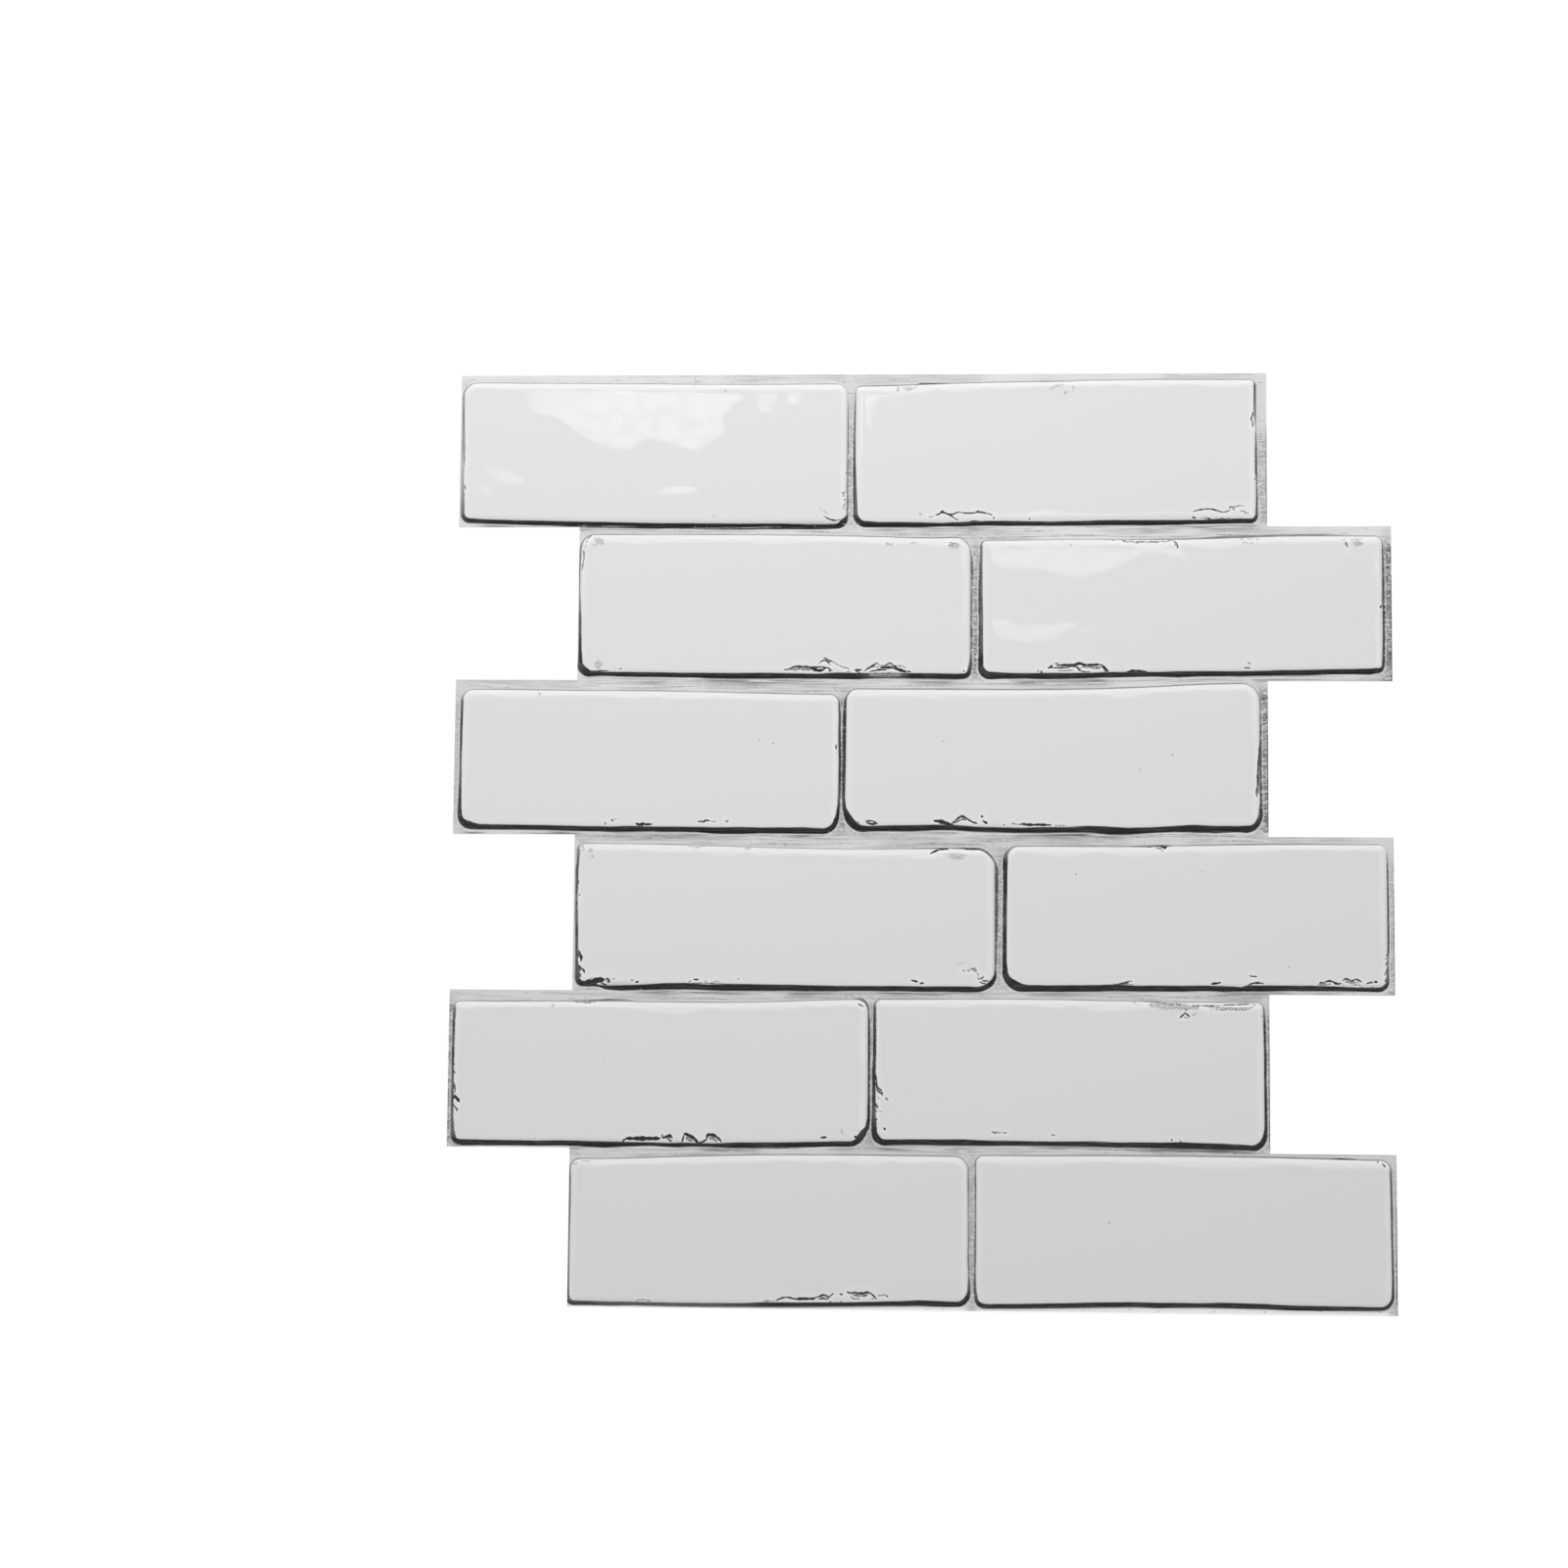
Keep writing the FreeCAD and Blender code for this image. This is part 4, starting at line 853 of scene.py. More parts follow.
        ("worn", "left", 0.6, (0.5, 2.2), (2.5, 2.3)),
        ("worn", "top", 0.6, (0.4, 1), (1.5, 0.7), (2.4, 1.5), (2.2, 2.3)),
        ("worn", "top", 0.9, (4.2, 2.2), (5, 2.1), (4.4, 2.8)),
        ("worn", "top", 0.7, (5, 4.3), (5.6, 4.5)),
        ("worn", "top", 0.4, (37, 0.6), (39, 0.8), (40.5, 0.5), (42, 0.1)),
        ("worn", "top", 0.5, (55, 0.8), (57, 0.5)),
        ("crack", "top", 0.6, (115.1, 1.8), (116, 1.3), (117.2, 0.8), (118.4, 0.4), (120.8, 0.4)),
        ("crack", "top", 0.35, (126, 0.45), (131.4, 0.45)),
        ("worn", "top", 0.4, (119.5, 2.1), (124.5, 2.1), (126.8, 2.6)),
        ("worn", "top", 1.2, (121.5, 3), (124, 3.2), (125.5, 3.3)),
    ),
    "tile_4_right": (
        ("crack", "bottom", 0.38, (34.5, 1.5), (37, 1.9), (39, 2.4), (41.2, 2.8)),
        ("crack", "bottom", 0.3, (37, 1.7), (39.5, 1.9), (41.4, 1.6)),
        ("crack", "bottom", 0.6, (66.2, 1.8), (67.5, 2), (68.5, 2.1), (69.5, 2.3)),
        ("crack", "bottom", 0.38, (78.8, 4.5), (79.5, 4.3), (81, 4.3)),
        ("crack", "bottom", 0.5, (78, 1.4), (79, 1.9), (80.5, 2.2), (82, 2.2), (83.3, 1.9)),
        ("crack", "bottom", 0.55, (101, 2.2), (101.8, 2.3), (102.7, 2.2)),
        ("crack", "bottom", 0.65, (102.8, 2.6), (104, 2.9), (105.2, 2.6), (106, 2.1), (107, 1.9),
         (107.7, 2.1)),
        ("flake", "bottom", 0.6, (100.4, 1.4), (102, 1.6), (104.5, 1.8)),
        ("crack", "bottom", 0.5, (108.3, 3), (109.2, 3.6), (110.2, 3.3), (111.2, 2.8), (112, 3.2),
         (112.8, 3.5), (113.7, 2.9), (114.4, 2.6)),
        ("flake", "bottom", 0.5, (109, 2.7), (111.3, 2.3), (113.5, 2.5)),
        ("flake", "bottom", 0.3, (108.4, 2), (108.6, 1.2)),
        ("flake", "bottom", 0.3, (111, 1.8), (114, 1.5)),
        ("crack", "bottom", 0.5, (115.9, 2), (117, 2.4), (118, 2.4)),
        ("crack", "bottom", 0.6, (118.4, 2.6), (119.3, 2.6)),
        ("crack", "bottom", 0.4, (114.3, 0.9), (114.7, 0.8)),
        ("crack", "bottom", 0.4, (117.5, 0.9), (118, 0.8)),
        ("flake", "top", 0.4, (40, 0.1), (43, 0.1), (45, 0.3)),
        ("flake", "top", 0.5, (45.3, 0.3), (46.4, 0.4), (47.5, 0.2)),
        ("crack", "top", 0.8, (50.4, 0.1), (51.5, 0.5), (51.6, 0.8), (52.3, 0.3)),
        ("flake", "top", 0.5, (49, 0.7), (51, 1)),
        ("worn", "top", 0.6, (50.5, 1.6), (51.2, 1.9)),
        ("crack", "right", 0.3, (35.2, 0.1), (35.8, 0.7)),
        ("crack", "right", 0.3, (36.6, 0.3), (36.8, 1.1)),
        ("crack", "right", 0.3, (37.5, 0.5), (38.3, 0.4), (38.9, 1)),
        ("crack", "right", 0.4, (40, 0.2), (42, 1.2)),
        ("crack", "right", 0.35, (43, 0.5), (44.3, 1.1)),
        ("crack", "face", 0.35, (23.1, 10.1), (23.3, 10.1)),
        ("crack", "face", 0.35, (63.6, 9.1), (63.8, 9.1)),
        ("crack", "face", 0.35, (91.1, 39.6), (91.3, 39.6)),
    ),
    "tile_5_left": (
        ("crack", "bottom", 1.3, (57.3, 1.9), (62, 1.95), (68, 2.05)),
        ("crack", "bottom", 0.5, (56.1, 0.8), (56.5, 1.4), (57.3, 1.9)),
        ("crack", "bottom", 0.4, (68.8, 2.5), (68.9, 3.4)),
        ("crack", "bottom", 0.8, (69, 2.2), (70.2, 2.7), (71.4, 3), (72.1, 2.3)),
        ("flake", "bottom", 1, (70, 2.2), (71.3, 1.9)),
        ("crack", "bottom", 0.5, (71.2, 1.5), (71.9, 1.2)),
        ("crack", "bottom", 0.5, (75.2, 0.9), (75.6, 2), (76, 3.9)),
        ("crack", "bottom", 1.05, (76.2, 3.7), (77.2, 3.3), (78.3, 2.8), (79.2, 2.3), (79.8, 1.6),
         (80.2, 1)),
        ("flake", "bottom", 1.1, (76.6, 2.4), (77.8, 1.9), (79, 1.5)),
        ("crack", "bottom", 0.5, (80.3, 1), (81.3, 0.9), (82.3, 1.3), (83.1, 2)),
        ("crack", "bottom", 0.85, (83.2, 1.8), (83.4, 3.1), (83.8, 3.5), (85, 3.5), (85.8, 3.2),
         (86.6, 2.7), (87.4, 2), (88, 1.3)),
        ("flake", "bottom", 1.2, (84.2, 2.6), (85.5, 2.2), (86.4, 1.6)),
        ("crack", "bottom", 0.75, (120.2, 2.3), (121, 2.4), (121.8, 2.4)),
        ("worn", "bottom", 0.35, (126.6, 5), (126.8, 4.2), (127.1, 3.4)),
        ("crack", "bottom", 0.8, (131.9, 2.1), (132.6, 1.7)),
        ("flake", "bottom", 0.4, (27.6, 1.8), (28, 1.8)),
        ("crack", "left", 0.35, (21, 0.7), (22.2, 1.1)),
        ("crack", "left", 0.35, (23.8, 0.8), (25, 1.2)),
        ("crack", "left", 0.35, (27.6, 0.8), (28.5, 1.3), (30, 1.4), (31.2, 1.3)),
        ("crack", "left", 0.35, (28, 0.4), (28.8, 0.9), (30, 0.8)),
        ("crack", "left", 0.9, (32, 1.2), (32.8, 2), (33.4, 2.5), (34, 2.7)),
        ("crack", "left", 0.35, (31.5, 1.2), (33, 1)),
        ("crack", "left", 0.42, (34.8, 0.9), (35.8, 1.6), (36.4, 2.1), (36.9, 2.2)),
        ("flake", "left", 0.25, (37.5, 1.7), (38.5, 1.9)),
        ("worn", "top", 0.5, (32.6, 2), (33.2, 1.2)),
        ("flake", "top", 0.4, (39.3, 0.2), (41, 0.5), (43, 0.4), (44.5, 0.6), (45.5, 0.2), (46.5, 0.3)),
        ("crack", "top", 0.35, (132, 1.3), (133.5, 1.4), (134.3, 1.1)),
    ),
    "tile_5_right": (
        ("flake", "bottom", 0.6, (38.3, 4.2), (39.3, 4), (40.5, 4)),
        ("flake", "bottom", 0.3, (40.5, 4), (43.2, 3.9)),
        ("flake", "bottom", 0.6, (57.4, 3.5), (58.3, 3.4)),
        ("crack", "bottom", 0.65, (95.5, 2.6), (95.8, 2.7)),
        ("crack", "bottom", 0.7, (98.3, 2.4), (98.6, 2.3)),
        ("crack", "left", 0.55, (23, 0.5), (25, 0.9), (26.6, 1.3)),
        ("crack", "left", 0.5, (26.5, 1.3), (28, 1.3), (29, 1.9), (29.7, 2.9)),
        ("crack", "left", 0.35, (28.5, 1.2), (30, 1.8), (30.8, 2.8), (31.3, 3.1)),
        ("flake", "left", 1, (29.5, 1.6), (30.3, 2.4)),
        ("crack", "left", 0.4, (30, 3), (31.3, 3.15)),
        ("crack", "left", 0.5, (33.5, 0.9), (34.8, 1.5), (35.4, 1.7)),
        ("crack", "left", 0.3, (36.1, 0.7), (36.5, 1.6)),
        ("flake", "left", 0.3, (36.4, 2), (36.6, 2.9)),
        ("crack", "left", 0.4, (38.8, 1), (39.2, 1.5)),
        ("flake", "left", 0.25, (31.8, 1.9), (33, 1.8)),
        ("flake", "left", 0.7, (32.3, 4.2), (32.6, 4.9)),
        ("crack", "left", 0.8, (41.7, 3.8), (42.3, 4.2)),
        ("worn", "top", 0.35, (83.2, 0.1), (84, 0.5), (85, 1.2)),
        ("flake", "top", 0.45, (87.3, 0.1), (89.5, 0.05), (91.5, 0.4), (93, 0.6), (94.8, 0.9), (96, 0.9),
         (97, 0.5), (98.5, 0.9), (100, 1.1)),
        ("worn", "top", 1.8, (89, 1.2), (92, 1.5), (96, 1.6), (100, 1.7), (104, 1.8)),
        ("crack", "top", 0.3, (102.3, 1.1), (105, 1.2), (107.5, 1.2), (111.8, 1.2)),
        ("crack", "top", 0.35, (112.1, 0.9), (115, 0.8), (117.5, 0.7), (120.8, 0.5)),
        ("crack", "top", 0.25, (121.3, 0.8), (122.8, 0.8)),
        ("flake", "top", 0.35, (107, 1.8), (111, 1.8), (116, 2), (118, 1.9), (122, 1.7)),
        ("flake", "top", 0.25, (108, 2.7), (113, 2.4), (118, 2.5), (120.5, 2.4)),
        ("crack", "top", 0.45, (98.4, 5.3), (99.2, 4.5), (100.1, 3.6), (100.4, 3.4)),
        ("crack", "top", 0.4, (100.3, 3.9), (101.2, 4.4), (101.6, 4.9)),
        ("flake", "top", 0.4, (99.8, 5.1), (101, 5.1)),
        ("worn", "top", 0.6, (102.5, 4.5), (103.5, 3.7)),
        ("flake", "top", 0.3, (99, 2), (100.5, 2.6), (101.7, 2.2)),
        ("crack", "right", 0.5, (4.9, 0.8), (5.1, 0.9)),
    ),
    "tile_6_left": (
        ("crack", "bottom", 0.25, (63.2, 1.9), (65, 2), (67.3, 2)),
        ("crack", "bottom", 0.5, (67.3, 2.1), (68.3, 2.6), (69.5, 3), (71, 3.1), (72.3, 2.8), (74, 2.4)),
        ("crack", "bottom", 0.85, (73.5, 2.5), (75, 2.6), (77, 2.6), (79.5, 2.6)),
        ("crack", "bottom", 0.5, (79.5, 2.9), (81, 3.3), (82.3, 3.8), (83.3, 3.5), (84.2, 3), (85, 3.8),
         (85.6, 4.1)),
        ("crack", "bottom", 0.4, (80.5, 2.4), (82, 2.6), (84, 2.5)),
        ("flake", "bottom", 0.6, (81.5, 3), (83, 2.8)),
        ("crack", "bottom", 0.55, (87.7, 4), (88.5, 3.8)),
        ("crack", "bottom", 0.58, (90, 4.6), (91, 4.2), (92.5, 4.4), (94, 4.2), (95.3, 4.1), (96, 4.5),
         (97.3, 4.2), (98.2, 3.5), (98.9, 2.8), (99.3, 2.2)),
        ("flake", "bottom", 1, (92, 3.7), (94.5, 3.6), (96.5, 3.8)),
        ("flake", "bottom", 0.35, (91, 3.2), (92, 2.4), (94, 2.3)),
        ("crack", "bottom", 0.45, (95, 3.1), (96.3, 3.4)),
        ("flake", "bottom", 0.35, (97.6, 2.3), (98.8, 2.4)),
        ("flake", "bottom", 0.35, (99.8, 3.4), (102.3, 3.5)),
        ("crack", "bottom", 0.5, (102.6, 3.2), (103, 3)),
        ("crack", "bottom", 0.3, (84.2, 1.5), (85, 1.6)),
        ("crack", "bottom", 0.3, (87.7, 1.6), (88.4, 1.5)),
        ("flake", "bottom", 0.35, (22, 1.3), (23, 1.5), (24.5, 1.7), (26, 1.4), (27.5, 1.2)),
        ("worn", "top", 0.5, (3.5, 0.9), (6.5, 0.9)),
        ("worn", "left", 0.5, (1, 1.3), (3.4, 0.5)),
    ),
    "tile_6_right": (
        ("flake", "top", 0.6, (127.6, 0.5), (128, 0.6)),
        ("flake", "top", 0.5, (129.3, 0.9), (130, 1.3), (131.3, 1.6)),
        ("crack", "face", 0.35, (42.5, 21.4), (42.7, 21.4)),
    ),
}

# How much sand the print has in the upright joint at a tile's right end: mm from the tile's top, and
# the sand's share there.
sandAtRight = {
    "tile_1_left": ((0, 0.15), (12, 0.3), (24, 0.5), (46, 0.5)),
    "tile_1_right": ((0, 0.05), (15, 0.1), (20, 0.35), (46, 0.4)),
    "tile_2_left": ((0, 0.2), (10, 0.5), (46, 0.6)),
    "tile_2_right": ((0, 0.15), (6, 0.9), (46, 0.95)),
    "tile_3_left": ((0, 0.3), (6, 0.7), (46, 0.7)),
    "tile_3_right": ((0, 0.15), (6, 1.0), (46, 1.0)),
    "tile_4_left": ((0, 0.3), (8, 0.5), (46, 0.5)),
    "tile_4_right": ((0, 0.1), (8, 0.3), (46, 0.35)),
    "tile_5_left": ((0, 0.3), (8, 0.6), (46, 0.7)),
    "tile_5_right": ((0, 0.2), (8, 0.6), (46, 0.6)),
    "tile_6_left": ((0, 0.3), (46, 0.5)),
    "tile_6_right": ((0, 0.2), (46, 0.5)),
}
sandAtOuterLeft = {"tile_3_left": 0.3, "tile_5_left": 0.6}
leastSand = 0.15            # at the other outer left ends

# Slow random changes along a tile's edge: how much, which draw, and over how many mm.
edgeChanges = {
    "drift": (0.07, 0, 9.0),
    "fineDrift": (0.04, 40, 3.0),
    "tone": (0.16, 80, 5.0),
    "rimMm": (0.7, 60, 8.0),
    "topRimMm": (2.6, 80, 16.0),
}


def footOutline(nodeName):
    # the corners of the node's lowest face, anticlockwise, in mm
    places = np.array([v.co for v in nodes[nodeName].data.vertices]) / mm
    foot = places[places[:, 2] < places[:, 2].min() + 0.01][:, :2]
    foot = np.unique(foot.round(4), axis=0)
    middle = (foot.min(0) + foot.max(0)) / 2
    turn = np.arctan2(foot[:, 1] - middle[1], foot[:, 0] - middle[0])
    return foot[np.argsort(turn)]


def smooth(value, low, high):
    share = np.clip((value - low) / (high - low), 0, 1)
    return share * share * (3 - 2 * share)


def wander(stations, seed, kind):
    # one of the slow changes, at each station along the edge
    amount, draw, sizeMm = edgeChanges[kind]
    line = (seed + draw) * 7.31
    return amount * np.array([noise.noise(Vector((station / sizeMm, line, 0.5))) for station in stations])


def alongLine(line):
    # how far along a line each of its corners lies
    return np.concatenate([[0], np.cumsum(np.hypot(*np.diff(line, axis=0).T))])


def placesAlong(line, spots):
    along = alongLine(line)
    return np.stack([np.interp(spots, along, line[:, axis]) for axis in (0, 1)], axis=1)


def tileEdge(nodeName, seed):
    # even stations round a tile's foot, anticlockwise, and what the contour, print and partly painted
    # shadow, does at each
    outline = footOutline(nodeName)
    closed = np.vstack([outline, outline[:1]])
    perimeter = alongLine(closed)[-1]
    count = int(perimeter / tileShape["perimeterStepMm"])
    stations = np.arange(count) * perimeter / count
    points = placesAlong(closed, stations)
    ahead = np.roll(points, -2, axis=0) - np.roll(points, 2, axis=0)
    normals = np.stack([ahead[:, 1], -ahead[:, 0]], axis=1)
    normals /= np.hypot(*normals.T)[:, None]
    shares = {side: np.clip(normals @ np.array(way), 0, 1) for side, way in sideWays.items()}
    total = sum(shares.values())
    shares = {side: share / total for side, share in shares.items()}
    ends = {"left": points[:, 1].max() - points[:, 1], "bottom": points[:, 0] - points[:, 0].min()}
    ends["right"], ends["top"] = ends["left"], ends["bottom"]
    inkAndShadow = np.zeros((4, count))
    for side, share in shares.items():
        rough, *stops = contour[nodeName][side]
        stops = np.array(stops)
        values = [np.interp(ends[side], stops[:, 0], stops[:, part]) for part in (1, 2, 3)]
        inkAndShadow += share * np.array([*values, np.full(count, rough)])
    reachOut, reachIn, tone, rough = inkAndShadow
    drift = wander(stations, seed, "drift") + wander(stations, seed, "fineDrift")
    tone *= 1 + wander(stations, seed, "tone") * (1 - shares["bottom"])
    sand = shares["right"] * np.interp(ends["right"], *np.array(sandAtRight[nodeName]).T)
    leftSand = sandAtOuterLeft.get(nodeName, leastSand)
    if nodeName.endswith("right"):
        sameJoint = sandAtRight[nodeName.replace("right", "left")]
        leftSand = np.interp(ends["left"], *np.array(sameJoint).T)
    sand += shares["left"] * leftSand
    return {
        "points": points,
        "normals": normals,
        "shares": shares,
        "out": reachOut - drift,
        "in": reachIn + drift,
        "tone": np.clip(tone, 0, 1),
        "rough": rough,
        "sand": sand,
        "rimMm": wander(stations, seed, "rimMm"),
        "topRimMm": tileShape["topRimMm"] + np.abs(wander(stations, seed, "topRimMm")),
        "low": points.min(0),
        "high": points.max(0),
    }


def edgeTree(points):
    tree = KDTree(len(points))
    for index, point in enumerate(points):
        tree.insert((*point, 0), index)
    tree.balance()
    return tree


def fromEdge(flat, points, normals, tree):
    # each place's nearest station, and how far outside the edge it lies, below zero inside
    nearest = np.array([tree.find((*place, 0))[1] for place in flat])
    offset = flat - points[nearest]
    across = (offset * normals[nearest]).sum(1)
    return nearest, np.where(np.abs(across) < 1.0, across, np.hypot(*offset.T) * np.sign(across))


def lattice(low, high, step):
    axes = [np.arange(math.floor(a / step), math.ceil(b / step) + 1) * step for a, b in zip(low, high)]
    return np.stack(np.meshgrid(*axes, indexing="ij"), axis=-1).reshape(-1, 2)


def markLine(side, corners, edge):
    # a mark's corners as places on the sheet, in mm
    if side == "face":
        return np.array([(edge["low"][0] + along, edge["high"][1] - down) for along, down in corners])
    axis = 0 if side in ("bottom", "top") else 1
    own = np.flatnonzero(edge["shares"][side] > 0.3)
    own = own[np.argsort(edge["points"][own, axis])]
    places = []
    for along, inward in corners:
        at = edge["low"][0] + along if axis == 0 else edge["high"][1] - along
        spot, normal = [
            np.array([np.interp(at, edge["points"][own, axis], edge[key][own, k]) for k in (0, 1)])
            for key in ("points", "normals")
        ]
        places.append(spot - inward * normal)
    return np.array(places)


# A crack or flake is a stroke that thins to its ends and swells along its way.
strokeShape = {
    "taper": 0.45,
    "swell": 0.3,
    "swellTurns": (2.1, 0.83),  # radians a mm
    "reachMm": 1.5,             # no mark matters further from it than this
    "outsideMm": -2.0,          # stands for all that lies beyond
}


def insideLine(flat, line, width, seed):
    # mm that each place lies inside a drawn stroke
    shape = strokeShape
    first, second = shape["swellTurns"]
    best = np.full(len(flat), shape["outsideMm"])
    reach = width / 2 + shape["reachMm"]
    near = np.flatnonzero(((flat > line.min(0) - reach) & (flat < line.max(0) + reach)).all(1))
    spot = flat[near]
    runs = np.diff(line, axis=0)
    lengths = np.hypot(*runs.T)
    start = 0.0
    found = np.full(len(near), shape["outsideMm"])
    for corner, run, length in zip(line[:-1], runs, lengths):
        share = np.clip(((spot - corner) @ run) / length ** 2, 0, 1)
        along = start + share * length
        taper = 1 - shape["taper"] * np.abs(2 * along / lengths.sum() - 1) ** 3
        swell = 1 + shape["swell"] * np.sin(along * first + seed) * np.sin(along * second + 2 * seed)
        away = np.hypot(*(spot - corner - share[:, None] * run).T)
        found = np.maximum(found, width / 2 * taper * swell - away)
        start += length
    best[near] = found
    return best


def strokeSpots(line, step):
    # even places along a drawn stroke
    length = alongLine(line)[-1]
    return placesAlong(line, np.linspace(0, length, max(2, int(length / step)) + 1))


def clearOf(flat, others, room):
    # the places that lie at least that far from all others
    tree = edgeTree(others)
    return flat[np.array([tree.find((*place, 0))[2] for place in flat]) > room]


def innerPlaces(edge, tree, lines):
    # mesh points inside the rim: on the cracks, close together beside them, wider over the face
    shape = tileShape
    low, high = edge["low"], edge["high"]
    ownRim, rim = [shape["ringStepsMm"][-1] + free for free in shape["rimRoomMm"]]
    room = shape["markRoomMm"]
    kept = []
    for step, nearest, furthest in (
        (shape["borderStepMm"], rim, shape["borderMm"]),
        (shape["faceStepMm"], shape["borderMm"], math.inf),
    ):
        flat = lattice(low, high, step)
        depth = -fromEdge(flat, edge["points"], edge["normals"], tree)[1]
        kept.append(flat[(depth > nearest) & (depth < furthest)])
    for number, (_, line, width) in enumerate(lines):
        reach = width / 2 + room
        flat = lattice(line.min(0) - reach, line.max(0) + reach, shape["markStepMm"])
        kept.append(flat[insideLine(flat, line, width, number) > -room])
    beside = np.unique(np.vstack(kept).round(3), axis=0)
    strokes = np.zeros((0, 2))
    for _, line, width in lines:
        spots = strokeSpots(line, shape["markStepMm"])
        if len(strokes):
            spots = clearOf(spots, strokes, shape["strokeRoomMm"])
        strokes = np.vstack([strokes, spots])
    if len(strokes):
        beside = np.vstack([clearOf(beside, strokes, shape["strokeRoomMm"]), strokes])
    depth = -fromEdge(beside, edge["points"], edge["normals"], tree)[1]
    return beside[depth > ownRim]


def fillInside(loop, inner):
    # triangles that fill a closed loop of places through the inner ones
    places = [Vector(place) for place in np.vstack([loop, inner]).tolist()]
    result = delaunay_2d_cdt(places, [], [list(range(len(loop)))], 1, 1e-6)
    if len(result[0]) != len(places):
        raise ValueError("places of the mesh coincide")
    return result[2]


def addAttributes(mesh, values):
    for name, numbers in values.items():
        layer = mesh.attributes.new(name, "FLOAT", "POINT")
        layer.data.foreach_set("value", np.asarray(numbers, np.float32))


def gelTile(nodeName, edge):
    shape = tileShape
    low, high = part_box(nodeName)
    foot, top = low[2] / mm, high[2] / mm
    points, normals, shares = edge["points"], edge["normals"], edge["shares"]
    tree = edgeTree(points)
    lines = [
        (kind, markLine(side, corners, edge), width)
        for kind, side, width, *corners in marks[nodeName]
    ]
    inner = innerPlaces(edge, tree, lines)
    steps = shape["ringStepsMm"]
    count = len(points)
    rings = [points - normals * step for step in steps]
    flat = np.vstack([*rings, inner])
    innerNearest, innerAway = fromEdge(inner, points, normals, tree)
    nearest = np.concatenate([np.tile(np.arange(count), len(steps)), innerNearest])
    depth = np.concatenate([np.repeat(steps, count), -innerAway])

    # painted highlight: paler bands along the rims, widest and brightest along the top, faint at the
    # bottom, and pale halos round the cracks and flakes
    topRim = 1 - smooth(depth - edge["topRimMm"][nearest], *fades["topRim"])
    topHighlightLine = np.exp(-((depth - edge["topRimMm"][nearest]) / topHighlightLineMm) ** 2)
    endRim = 1 - smooth(depth + edge["rimMm"][nearest], *fades["endRim"])
    bottomRim = smooth(depth, *fades["bottomRim"]) - smooth(depth, *fades["bottomRimEnd"])
    bands = {
        "top": paintedRimHighlights["top"] * topRim + paintedRimHighlights["topHighlightLine"] * topHighlightLine,
        "left": paintedRimHighlights["left"] * endRim,
        "right": paintedRimHighlights["right"] * endRim,
        "bottom": paintedRimHighlights["bottom"] * bottomRim,
    }
    paintedRimHighlight = sum(shares[side][nearest] * band for side, band in bands.items())
    inside = {kind: np.full(len(flat), strokeShape["outsideMm"]) for kind in shape["markDipsMm"]}
    for number, (kind, line, width) in enumerate(lines):
        stroke = insideLine(flat, line, width + shape["widerMm"], number)
        inside[kind] = np.maximum(inside[kind], stroke)
    halo = smooth(np.maximum(inside["crack"], inside["flake"]), *fades["halo"])
    halo *= 1 - smooth(depth, *fades["haloEnd"])
    paintedRimHighlight = np.clip(paintedRimHighlight + paintedRimHighlights["crackHighlightHalo"] * halo, 0, 1)

    rise = np.clip(depth / shape["rimRunMm"], 0, 1)
    rounded = np.sqrt(1 - (1 - rise) ** 2)
    dips = [deep * smooth(inside[kind], *fades["markDip"]) for kind, deep in shape["markDipsMm"].items()]
    dip = np.max(dips, axis=0) * smooth(depth, *fades["anyDip"])
    z = foot + (top - shape["faceBelowTopMm"] - foot) * rounded - dip

    faces = []
    for ring in range(len(steps) - 1):
        outer = ring * count
        for station in range(count):
            after = (station + 1) % count
            faces.append((outer + station, outer + after, outer + count + after, outer + count + station))
    start = (len(steps) - 1) * count
    faces += [tuple(start + corner for corner in triangle) for triangle in fillInside(rings[-1], inner)]
    faces.append(tuple(reversed(range(count))))
    mesh = bpy.data.meshes.new(nodeName)
    mesh.from_pydata((np.column_stack([flat, z]) * mm).tolist(), [], faces)
    mesh.polygons.foreach_set("use_smooth", [True] * (len(faces) - 1) + [False])
    addAttributes(mesh, {
        "inkAndShadowEdge": edge["in"][nearest] - depth,
        "inkAndShadowTone": edge["tone"][nearest],
        "roughMm": edge["rough"][nearest],
        "paintedRimHighlight": paintedRimHighlight,
        "faceShare": smooth(depth, *fades["face"]),
        **{kind + "Edge": depths for kind, depths in inside.items()},
    })
    piece = bpy.data.objects.new("gel_" + nodeName, mesh)
    bpy.context.collection.objects.link(piece)
    return piece


def newGeometryTree(name, inputs):
    # a geometry tree with a Geometry input and output, and the named inputs
    tree = bpy.data.node_groups.new(name, "GeometryNodeTree")
    tree.interface.new_socket("Geometry", in_out="INPUT", socket_type="NodeSocketGeometry")
    for socket, kind in inputs.items():
        tree.interface.new_socket(socket, in_out="INPUT", socket_type="NodeSocket" + kind)
    tree.interface.new_socket("Geometry", in_out="OUTPUT", socket_type="NodeSocketGeometry")
    return tree, addNode(tree, "NodeGroupInput").outputs


def closeTree(tree, geometry, material):
    realized = addNode(tree, "GeometryNodeRealizeInstances", [geometry])
    painted = addNode(tree, "GeometryNodeSetMaterial", {"Geometry": realized, "Material": material})
    addNode(tree, "NodeGroupOutput", [painted])
    return tree


